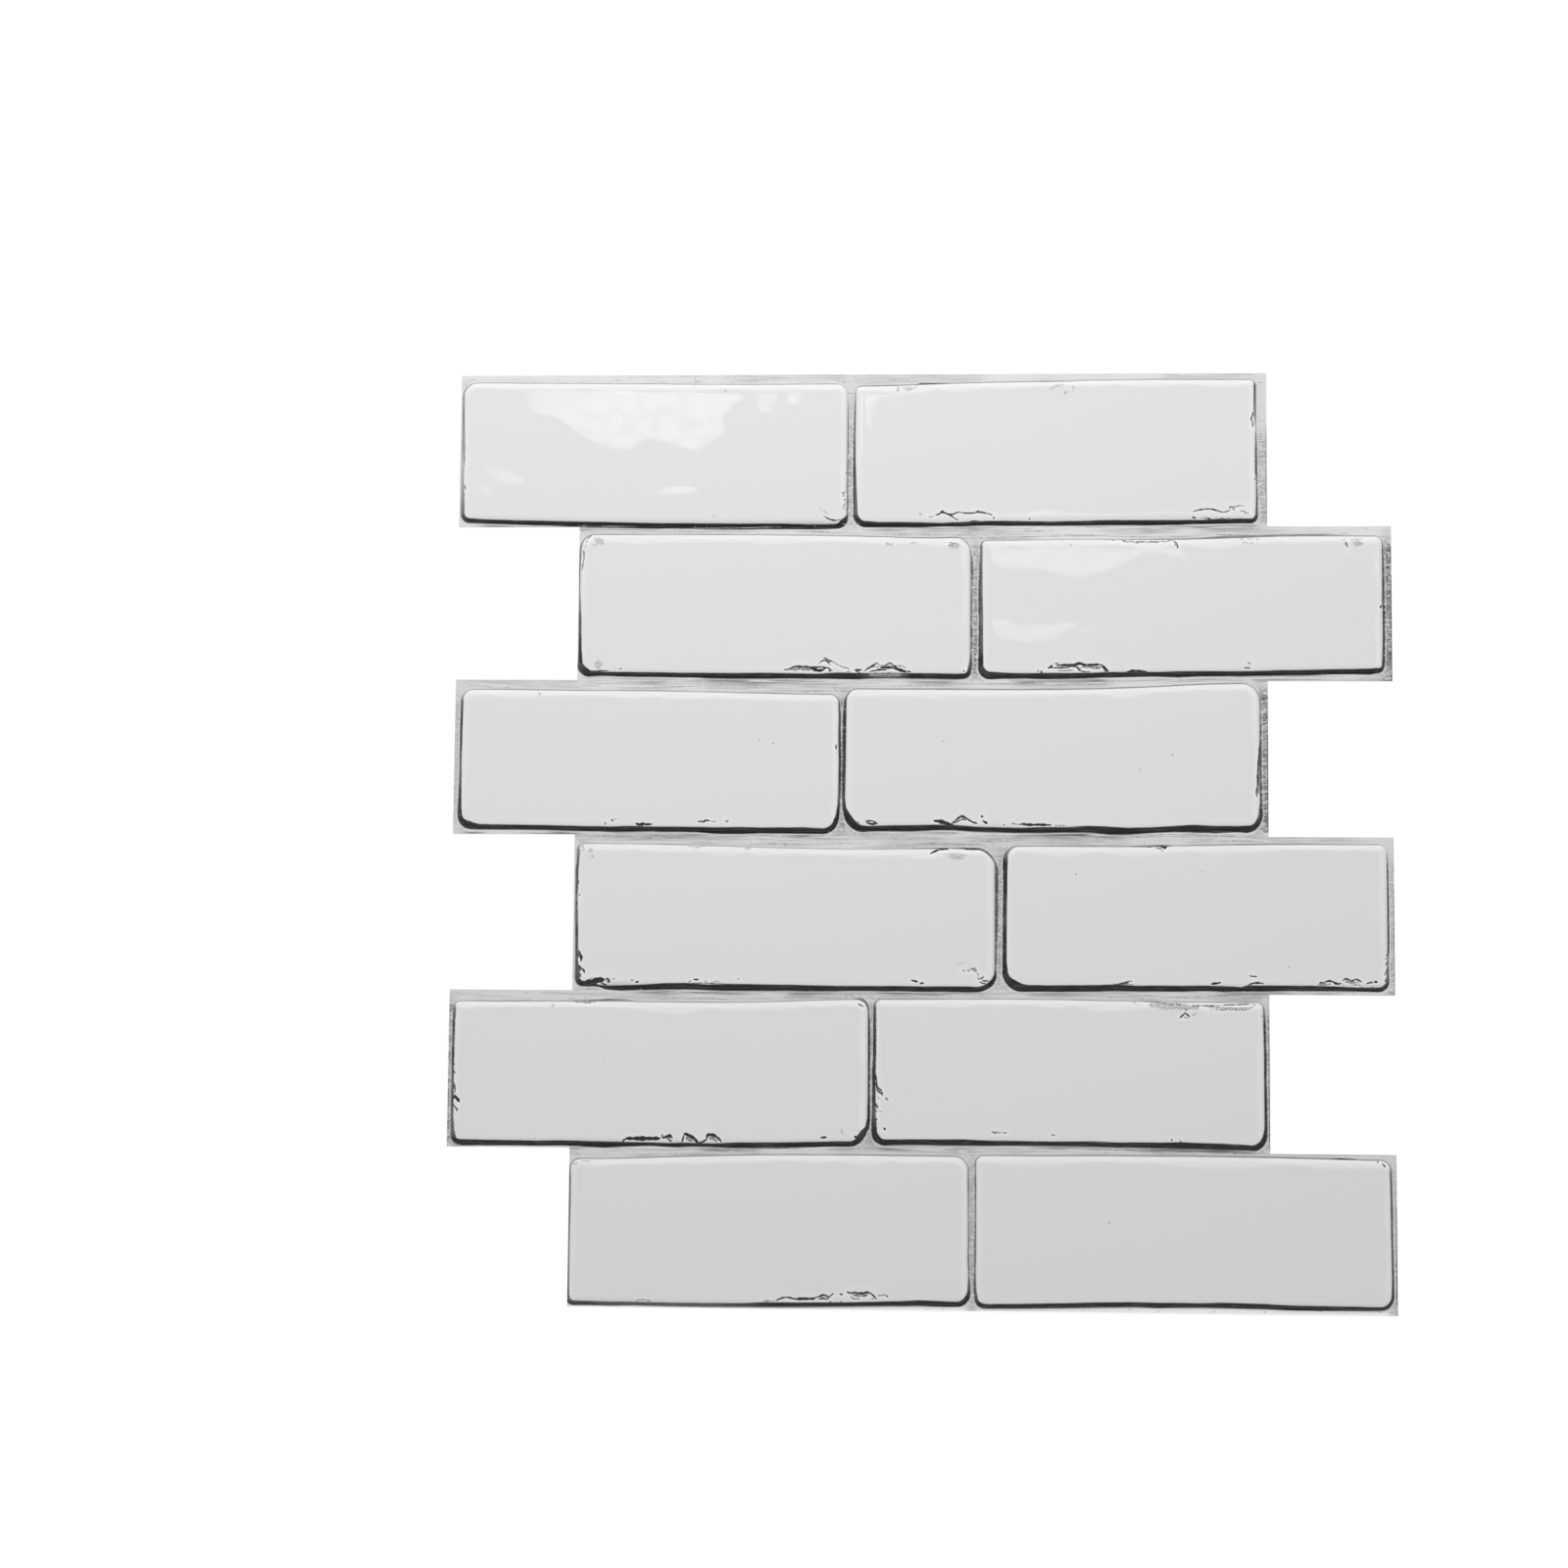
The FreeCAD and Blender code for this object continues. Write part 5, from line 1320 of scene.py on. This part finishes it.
def gelSurfaceTree():
    # the slightly uneven poured face: a slow noise lifts it away from the rim
    tree, entry = newGeometryTree("Poured gel face", {
        "Wave Height": "Float", "Wave Size": "Float", "Seed": "Float", "Material": "Material",
    })
    place = addNode(tree, "GeometryNodeInputPosition")
    scaled = addNode(tree, "ShaderNodeVectorMath", (place, entry["Wave Size"]), operation="DIVIDE")
    waves = {"Vector": scaled, "W": entry["Seed"], "Scale": 1.0, "Detail": 1.5, "Roughness": 0.3}
    wave = addNode(tree, "ShaderNodeTexNoise", waves, noise_dimensions="4D")
    share = addNode(tree, "GeometryNodeInputNamedAttribute", ["faceShare"], data_type="FLOAT")
    lift = addNode(tree, "ShaderNodeMath", (wave, 0.5), operation="SUBTRACT")
    lift = addNode(tree, "ShaderNodeMath", (lift, entry["Wave Height"]), operation="MULTIPLY")
    lift = addNode(tree, "ShaderNodeMath", (lift, share), operation="MULTIPLY")
    offset = addNode(tree, "ShaderNodeCombineXYZ", {"Z": lift})
    moved = addNode(tree, "GeometryNodeSetPosition", {"Geometry": entry["Geometry"], "Offset": offset})
    return closeTree(tree, moved, entry["Material"])


def groutTree():
    # small lumps scattered over the grout, clear of the tiles and of the film's edge
    tree, entry = newGeometryTree("Grout relief", {
        "Tiles": "Object", "Film Edge": "Object", "Clearance": "Float", "Density": "Float",
        "In Level Joints": "Float", "In Upright Joints": "Float", "Length": "Float", "Width": "Float",
        "Height": "Float", "Turn": "Float", "Seed": "Int", "Material": "Material",
    })
    down = rowsDown(tree, addNode(tree, "GeometryNodeInputPosition"))
    down = addNode(tree, "ShaderNodeMath", (down, rowPitch), operation="MODULO")
    joint = (down, rowJoint["depthMm"], rowJoint["depthMm"] + 0.5, 1.0, 0.0)
    level = addNode(tree, "ShaderNodeMapRange", joint, interpolation_type="SMOOTHSTEP")
    upright = addNode(tree, "ShaderNodeMath", (1.0, level), operation="SUBTRACT")
    level = addNode(tree, "ShaderNodeMath", (level, entry["In Level Joints"]), operation="MULTIPLY")
    upright = addNode(tree, "ShaderNodeMath", (upright, entry["In Upright Joints"]), operation="MULTIPLY")
    share = addNode(tree, "ShaderNodeMath", (level, upright), operation="ADD")
    density = addNode(tree, "ShaderNodeMath", (share, entry["Density"]), operation="MULTIPLY")
    spread = {"Mesh": entry["Geometry"], "Density": density, "Seed": entry["Seed"]}
    points = addNode(tree, "GeometryNodeDistributePointsOnFaces", spread)
    room = []
    for name in ("Tiles", "Film Edge"):
        found = addNode(tree, "GeometryNodeObjectInfo", [entry[name]]).outputs["Geometry"]
        room.append(addNode(tree, "GeometryNodeProximity", [found]).outputs["Distance"])
    least = addNode(tree, "ShaderNodeMath", room, operation="MINIMUM")
    tooNear = addNode(tree, "FunctionNodeCompare", (least, entry["Clearance"]), operation="LESS_THAN")
    kept = addNode(tree, "GeometryNodeDeleteGeometry", {"Geometry": points, "Selection": tooNear})

    lump = addNode(tree, "GeometryNodeMeshUVSphere", {"Segments": 4, "Rings": 2, "Radius": 0.5})
    turn = addNode(tree, "FunctionNodeRandomValue", {"Min": -1.0, "Max": 1.0, "Seed": 5})
    turn = addNode(tree, "ShaderNodeMath", (turn, entry["Turn"]), operation="MULTIPLY")
    angle = addNode(tree, "ShaderNodeCombineXYZ", {"Z": turn})
    size = addNode(tree, "FunctionNodeRandomValue", {"Min": 0.5, "Max": 1.4, "Seed": entry["Seed"]})
    length = addNode(tree, "ShaderNodeMath", (entry["Length"], size), operation="MULTIPLY")
    most = addNode(tree, "ShaderNodeMath", (room[1], 1.7), operation="MULTIPLY")
    length = addNode(tree, "ShaderNodeMath", (length, most), operation="MINIMUM")
    scale = addNode(tree, "ShaderNodeCombineXYZ", (length, entry["Width"], entry["Height"]))
    lumps = {"Points": kept, "Instance": lump, "Rotation": angle, "Scale": scale}
    return closeTree(tree, addNode(tree, "GeometryNodeInstanceOnPoints", lumps), entry["Material"])


def runTree(piece, tree, inputs):
    # runs a geometry tree on a piece and keeps its result as a plain mesh
    modifier = piece.modifiers.new(tree.name, "NODES")
    modifier.node_group = tree
    identifiers = {s.name: s.identifier for s in tree.interface.items_tree if s.in_out == "INPUT"}
    for name, value in inputs.items():
        modifier[identifiers[name]] = value
    bpy.context.view_layer.update()
    result = bpy.data.meshes.new_from_object(piece.evaluated_get(bpy.context.evaluated_depsgraph_get()))
    piece.modifiers.remove(modifier)
    piece.data = result
    return piece


gelTree = gelSurfaceTree()
tileEdges = {name: tileEdge(name, number + 1) for number, name in enumerate(tileNames)}
for number, (name, edge) in enumerate(tileEdges.items()):
    tile = runTree(gelTile(name, edge), gelTree, {
        "Wave Height": tileShape["waveHeightMm"] * mm,
        "Wave Size": tileShape["waveSizeMm"] * mm,
        "Seed": 3.7 * (number + 1),
        "Material": gelMaterial,
    })
    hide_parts(name)
    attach(tile, "root")
    print(name, "faces:", len(tile.data.polygons))
print("gel tiles made:", len(tileNames))

# The printed film: its face is a mesh that follows the tiles' edges, so that the print can.
filmShape = {
    "ringsMm": (-0.12, 0.08, 0.3, 0.6, 0.95, 1.4, 2.0),
    "everyStation": 2,
    "groutStepMm": 1.6,
    "hiddenStepMm": 9.0,
    "outlineStepMm": 0.8,
    "hiddenDepthMm": 3.0,   # how far under a tile the widest net starts
    "edgeRoomMm": 0.12,
    "ringRoomMm": 0.06,     # a ring's point is left out where another tile is nearer
    "dipMm": 0.05,
    "dipFadeMm": (0.15, 0.9),
    "lumpTurns": (0.4, 1.4),
    "cutAwayMm": 9.0,       # keeps the cut end's shade off the top of each row
    "cutAwayRows": (0.15, 0.35),
}


def inFilm(flat, ends, room=0.0):
    # whether each place lies on the stepped film, that far from its edge
    inside = np.ones(len(flat), bool)
    for shift in ((room, 0), (-room, 0), (0, room), (0, -room)):
        moved = flat + shift
        row = np.floor((sheetTop - moved[:, 1]) / rowPitch).astype(int)
        odd = row % 2
        inside &= (row >= 0) & (row < rowCount)
        inside &= (moved[:, 0] > ends[odd]) & (moved[:, 0] < ends[2 + odd])
    return inside


def filmOutline(ends):
    # the stepped outline, anticlockwise, at close steps
    leftEnd = []
    rightEnd = []
    for row in range(rowCount):
        for line in (row, row + 1):
            leftEnd.append((ends[row % 2], sheetTop - line * rowPitch))
            rightEnd.append((ends[2 + row % 2], sheetTop - line * rowPitch))
    corners = np.array(leftEnd + rightEnd[::-1])
    places = []
    for start, end in zip(corners, np.roll(corners, -1, axis=0)):
        pieces = max(1, round(float(np.hypot(*(end - start))) / filmShape["outlineStepMm"]))
        places.append(start + (end - start) * np.arange(pieces)[:, None] / pieces)
    return np.vstack(places)


def filmPlaces(edges, points, normals, tree, ends):
    # mesh points of the face: rings round the tiles, a net in the grout, a few under the tiles
    shape = filmShape
    kept = []
    for step in shape["ringsMm"]:
        for edge in edges:
            flat = (edge["points"] + step * edge["normals"])[::shape["everyStation"]]
            away = fromEdge(flat, points, normals, tree)[1]
            kept.append(flat[np.abs(away - step) < shape["ringRoomMm"]])
    for key, nearest, furthest in (
        ("groutStepMm", shape["ringsMm"][-1] + 0.5, math.inf),
        ("hiddenStepMm", -math.inf, -shape["hiddenDepthMm"]),
    ):
        flat = lattice((ends[0], -sheetTop), (ends[3], sheetTop), shape[key])
        away = fromEdge(flat, points, normals, tree)[1]
        kept.append(flat[(away > nearest) & (away < furthest)])
    flat = np.vstack(kept)
    return np.unique(flat[inFilm(flat, ends, shape["edgeRoomMm"])].round(3), axis=0)


def printedFilm(edges):
    shape = filmShape
    low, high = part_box("printed_film")
    source = np.array([v.co for v in nodes["printed_film"].data.vertices]) / mm
    ends = np.unique(source[:, 0].round(3))
    points = np.vstack([edge["points"] for edge in edges])
    normals = np.vstack([edge["normals"] for edge in edges])
    tree = edgeTree(points)
    outline = filmOutline(ends)
    inner = filmPlaces(edges, points, normals, tree, ends)
    flat = np.vstack([outline, inner])
    nearest, outward = fromEdge(flat, points, normals, tree)
    whole = {key: np.concatenate([edge[key] for edge in edges]) for key in ("out", "tone", "rough", "sand")}
    shares = {side: np.concatenate([edge["shares"][side] for edge in edges]) for side in sideWays}
    count = len(outline)
    lumps = np.array([noise.noise(Vector((*place, 2.0))) for place in flat * shape["lumpTurns"]])
    dip = shape["dipMm"] * smooth(outward, *shape["dipFadeMm"]) * np.clip(0.5 + lumps, 0, 1)
    z = high[2] / mm - dip
    z[:count] = high[2] / mm
    under = np.column_stack([outline, np.full(count, low[2] / mm)])
    places = np.vstack([np.column_stack([flat, z]), under])
    faces = [tuple(triangle) for triangle in fillInside(outline, inner)]
    faces += [tuple(reversed(range(len(flat), len(flat) + count)))]
    for corner in range(count):
        after = (corner + 1) % count
        faces.append((corner, len(flat) + corner, len(flat) + after, after))
    row = np.floor((sheetTop - flat[:, 1]) / rowPitch).astype(int).clip(0, rowCount - 1)
    fromCut = ends[2 + row % 2] - flat[:, 0]
    downRow = (sheetTop - flat[:, 1]) / rowPitch - row
    printed = {
        "outward": outward,
        "inkAndShadowEdge": whole["out"][nearest] - outward,
        "inkAndShadowTone": whole["tone"][nearest],
        "roughMm": whole["rough"][nearest],
        "sandTone": whole["sand"][nearest],
        "under": shares["bottom"][nearest],
        "over": shares["top"][nearest],
        "cutEdge": fromCut + shape["cutAwayMm"] * (1 - smooth(downRow, *shape["cutAwayRows"])),
    }
    unprinted = {"inkAndShadowEdge": -5.0}       # the back's edge, where all the others are nothing
    mesh = bpy.data.meshes.new("printed film")
    mesh.from_pydata((places * mm).tolist(), [], faces)
    addAttributes(mesh, {
        name: np.append(values, np.full(count, unprinted.get(name, 0.0)))
        for name, values in printed.items()
    })
    mesh.materials.append(filmMaterial)
    film = bpy.data.objects.new("film_print", mesh)
    bpy.context.collection.objects.link(film)
    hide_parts("printed_film")
    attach(film, "root")
    print("film faces:", len(mesh.polygons))


printedFilm(list(tileEdges.values()))

# Relief of the grout print, in mm: sand grains, mostly in the upright joints, and thin drawn-out
# ridges in the level ones.
groutRelief = {
    "grout_sand": {
        "Clearance": 0.30, "Density": 2.2, "In Level Joints": 0.03, "In Upright Joints": 1.0,
        "Length": 0.55, "Width": 0.26, "Height": 0.16, "Turn": 0.35, "Seed": 11,
    },
    "grout_ridges": {
        "Clearance": 0.50, "Density": 0.05, "In Level Joints": 1.0, "In Upright Joints": 0.0,
        "Length": 18.0, "Width": 0.20, "Height": 0.06, "Turn": 0.01, "Seed": 23,
    },
}


def filmTopMesh(name):
    # the printed face of the film
    source = nodes["printed_film"].data
    places = [v.co.copy() for v in source.vertices]
    top = max(place.z for place in places)
    upper = {index for index, place in enumerate(places) if place.z > top - 0.01 * mm}
    faces = [tuple(face.vertices) for face in source.polygons if upper.issuperset(face.vertices)]
    mesh = bpy.data.meshes.new(name)
    mesh.from_pydata(places, [], faces)
    return mesh


def obstacle(name, sources, faceTest):
    # one hidden object made of the frame's faces that the grout keeps clear of
    places = []
    faces = []
    for source in sources:
        start = len(places)
        places += [v.co.copy() for v in source.data.vertices]
        for face in source.data.polygons:
            if faceTest(face):
                faces.append(tuple(start + corner for corner in face.vertices))
    mesh = bpy.data.meshes.new(name)
    mesh.from_pydata(places, [], faces)
    piece = bpy.data.objects.new(name, mesh)
    bpy.context.collection.objects.link(piece)
    return piece


def makeGroutRelief():
    tree = groutTree()
    tiles = obstacle("tiles", [nodes[name] for name in tileNames], lambda face: True)
    edge = obstacle("filmEdge", [nodes["printed_film"]], lambda face: abs(face.normal.z) < 0.5)
    for name, settings in groutRelief.items():
        piece = bpy.data.objects.new(name, filmTopMesh(name))
        bpy.context.collection.objects.link(piece)
        inputs = {**settings, "Tiles": tiles, "Film Edge": edge, "Material": sandMaterial}
        inputs["Density"] /= mm ** 2
        for key in ("Clearance", "Length", "Width", "Height"):
            inputs[key] *= mm
        runTree(piece, tree, inputs)
        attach(piece, "root")
        print(name, "faces:", len(piece.data.polygons))
    bpy.data.objects.remove(tiles)
    bpy.data.objects.remove(edge)


makeGroutRelief()

linerSlots = nodes["release_liner"].data.materials
linerSlots.clear()
linerSlots.append(paperMaterial)
print("liner finished")

# White floor, a hair under the liner. Camera and mirror rays see it as plain white, with only part
# of the sheet's shadow. It is clear from below, and for rays that start at the liner's back, so that
# the back can be looked at.
floorLook = {
    "sizeM": 12.0,
    "dropMm": 0.05,
    "clearWithinMm": 0.6,
    "colour": "#F4F4F4",
    "glow": 0.86,
    "shadowShare": 0.22,
}


def flatObject(name, places, faces, material):
    mesh = bpy.data.meshes.new(name)
    mesh.from_pydata(places, [], faces)
    mesh.materials.append(material)
    flat = bpy.data.objects.new(name, mesh)
    bpy.context.collection.objects.link(flat)
    return flat


def whiteFloor():
    look = floorLook
    material, tree = newMaterial("White studio floor")
    rays = addNode(tree, "ShaderNodeLightPath").outputs
    matt = addNode(tree, "ShaderNodeBsdfDiffuse", {"Color": srgb(look["colour"])})
    glow = addNode(tree, "ShaderNodeEmission", {"Strength": look["glow"] / (1 - look["shadowShare"])})
    seen = addNode(tree, "ShaderNodeMixShader", (look["shadowShare"], glow, matt))
    direct = (rays["Is Camera Ray"], rays["Is Glossy Ray"])
    direct = addNode(tree, "ShaderNodeMath", direct, operation="MAXIMUM")
    direct = (direct, rays["Is Transmission Ray"])
    direct = addNode(tree, "ShaderNodeMath", direct, operation="MAXIMUM")
    white = addNode(tree, "ShaderNodeMixShader", (direct, matt, seen))
    fromLiner = (rays["Ray Length"], look["clearWithinMm"] * mm)
    fromLiner = addNode(tree, "ShaderNodeMath", fromLiner, operation="LESS_THAN")
    fromBelow = addNode(tree, "ShaderNodeNewGeometry").outputs["Backfacing"]
    unseen = addNode(tree, "ShaderNodeMath", (fromBelow, fromLiner), operation="MAXIMUM")
    clear = addNode(tree, "ShaderNodeBsdfTransparent")
    whole = addNode(tree, "ShaderNodeMixShader", (unseen, white, clear))
    addNode(tree, "ShaderNodeOutputMaterial", [whole])
    half = look["sizeM"] / 2
    corners = [(x * half, y * half, -look["dropMm"] * mm) for x, y in ((-1, -1), (1, -1), (1, 1), (-1, 1))]
    floor = flatObject("floor", corners, [(0, 1, 2, 3)], material)


whiteFloor()

# Soft studio light: an even pale room, a large softbox beyond the first row, and bright window
# shapes overhead, patchy as through a curtain, that show only as reflections in the gel.
lights = {
    "room": 0.50,
    "softboxPlace": (-0.10, 0.62, 0.78),
    "softboxSize": (0.9, 0.45),
    "softboxWatts": 7.3,
    "windowHeightMm": 1500.0,
    "windowPatches": {"sizeMm": 9.0, "start": 0.36, "full": 0.60, "least": 0.7, "most": 1.1},
}

# The photograph's view: nearly straight down, from a little below the sheet's middle.
view = {
    "lensMm": 83.25,
    "sensorMm": 36.0,
    "turnDeg": (6.421, 3.355, 0.562),
    "placeMm": (25.68, -114.58, 1170.9),
}

# The reflections as they lie on the sheet: how bright each is, then its outline in mm.
glints = (
    (3.4, (-131, 156), (-129.5, 146), (-127, 139.8), (-119.4, 134), (-111.8, 130.2), (-103.4, 128),
     (-94.8, 126.2), (-91, 129.2), (-88, 129.8), (-81.6, 127.9), (-74.1, 125.9), (-67.4, 128.4),
     (-64.6, 131.2), (-66, 136), (-61.8, 143), (-58, 147), (-60, 156)),
    (3.2, (-53.4, 152), (-53, 141), (-49.4, 139.4), (-48, 144), (-46, 152)),
    (3.2, (-44.8, 152), (-43, 144.4), (-38.4, 143.9), (-38, 152)),
    (2.4, (-144.9, 121.4), (-140, 116.5), (-133, 115.9), (-130.7, 118), (-136, 120.5)),
    (2.6, (-145.8, 114.9), (-145, 111.6), (-142.4, 111.4), (-143, 114.5)),
    (3.4, (-88.4, 113.6), (-83, 112), (-76, 112.4), (-73.6, 114.4), (-80, 115.6), (-86, 115.8)),
    (3.0, (-21, 152), (-20.5, 141), (-18.5, 136.8), (-16, 136.4), (-14.6, 143), (-8, 147.5), (-8, 152)),
    (2.7, (18, 102), (19.5, 89), (28, 86.2), (44, 84.9), (52, 85.2), (60, 86.5), (66.6, 88.4), (73, 93),
     (78, 92.6), (84, 91.5), (84, 95.5), (76, 102)),
    (2.7, (20, 71.2), (23, 68), (27, 64.5), (36, 63.3), (44, 64.5), (46, 67), (50, 68.3), (40, 69.8),
     (30, 71.6)),
    (1.9, (50, 66), (53, 65.4), (58, 66.6), (57.5, 68.2)),
)


def windowShapes():
    # each reflection's outline, carried by the mirror law to a plane above the camera
    material, tree = newMaterial("Bright window")
    bright = addNode(tree, "ShaderNodeAttribute", attribute_name="glow").outputs["Fac"]
    strength = (blobs(tree, **lights["windowPatches"]), bright)
    strength = addNode(tree, "ShaderNodeMath", strength, operation="MULTIPLY")
    glow = addNode(tree, "ShaderNodeEmission", {"Strength": strength})
    addNode(tree, "ShaderNodeOutputMaterial", [glow])
    height = lights["windowHeightMm"]
    reach = height / view["placeMm"][2]
    places = []
    faces = []
    brightness = []
    for bright, *outline in glints:
        faces.append(tuple(range(len(places), len(places) + len(outline))))
        brightness += [bright] * len(outline)
        for x, y in outline:
            away = [p * (1 + reach) - c * reach for p, c in zip((x, y), view["placeMm"])]
            places.append((away[0] * mm, away[1] * mm, height * mm))
    windows = flatObject("windows", places, faces, material)
    addAttributes(windows.data, {"glow": brightness})
    windows.visible_camera = False


windowShapes()


def studioLight():
    world = bpy.data.worlds.new("Pale room")
    bpy.context.scene.world = world
    world.use_nodes = True
    tree = world.node_tree
    tree.nodes.clear()
    room = addNode(tree, "ShaderNodeBackground", {"Color": (1, 1, 1, 1), "Strength": lights["room"]})
    white = addNode(tree, "ShaderNodeBackground", {"Color": (1, 1, 1, 1), "Strength": 1.0})
    toCamera = addNode(tree, "ShaderNodeLightPath").outputs["Is Camera Ray"]
    both = addNode(tree, "ShaderNodeMixShader", (toCamera, room, white))
    addNode(tree, "ShaderNodeOutputWorld", [both])
    lamp = bpy.data.lights.new("softbox", "AREA")
    lamp.shape = "RECTANGLE"
    lamp.size, lamp.size_y = lights["softboxSize"]
    lamp.energy = lights["softboxWatts"]
    softbox = bpy.data.objects.new("softbox", lamp)
    softbox.location = lights["softboxPlace"]
    softbox.rotation_euler = (-Vector(lights["softboxPlace"])).to_track_quat("-Z", "Y").to_euler()
    softbox.visible_glossy = False
    bpy.context.collection.objects.link(softbox)


studioLight()

cameraData = bpy.data.cameras.new("camera")
cameraData.lens = view["lensMm"]
cameraData.sensor_width = view["sensorMm"]
camera = bpy.data.objects.new("camera", cameraData)
camera.location = [value * mm for value in view["placeMm"]]
camera.rotation_euler = [math.radians(value) for value in view["turnDeg"]]
bpy.context.collection.objects.link(camera)
bpy.context.scene.camera = camera
bpy.context.scene.view_settings.view_transform = "Standard"
print("stage, light and camera set")
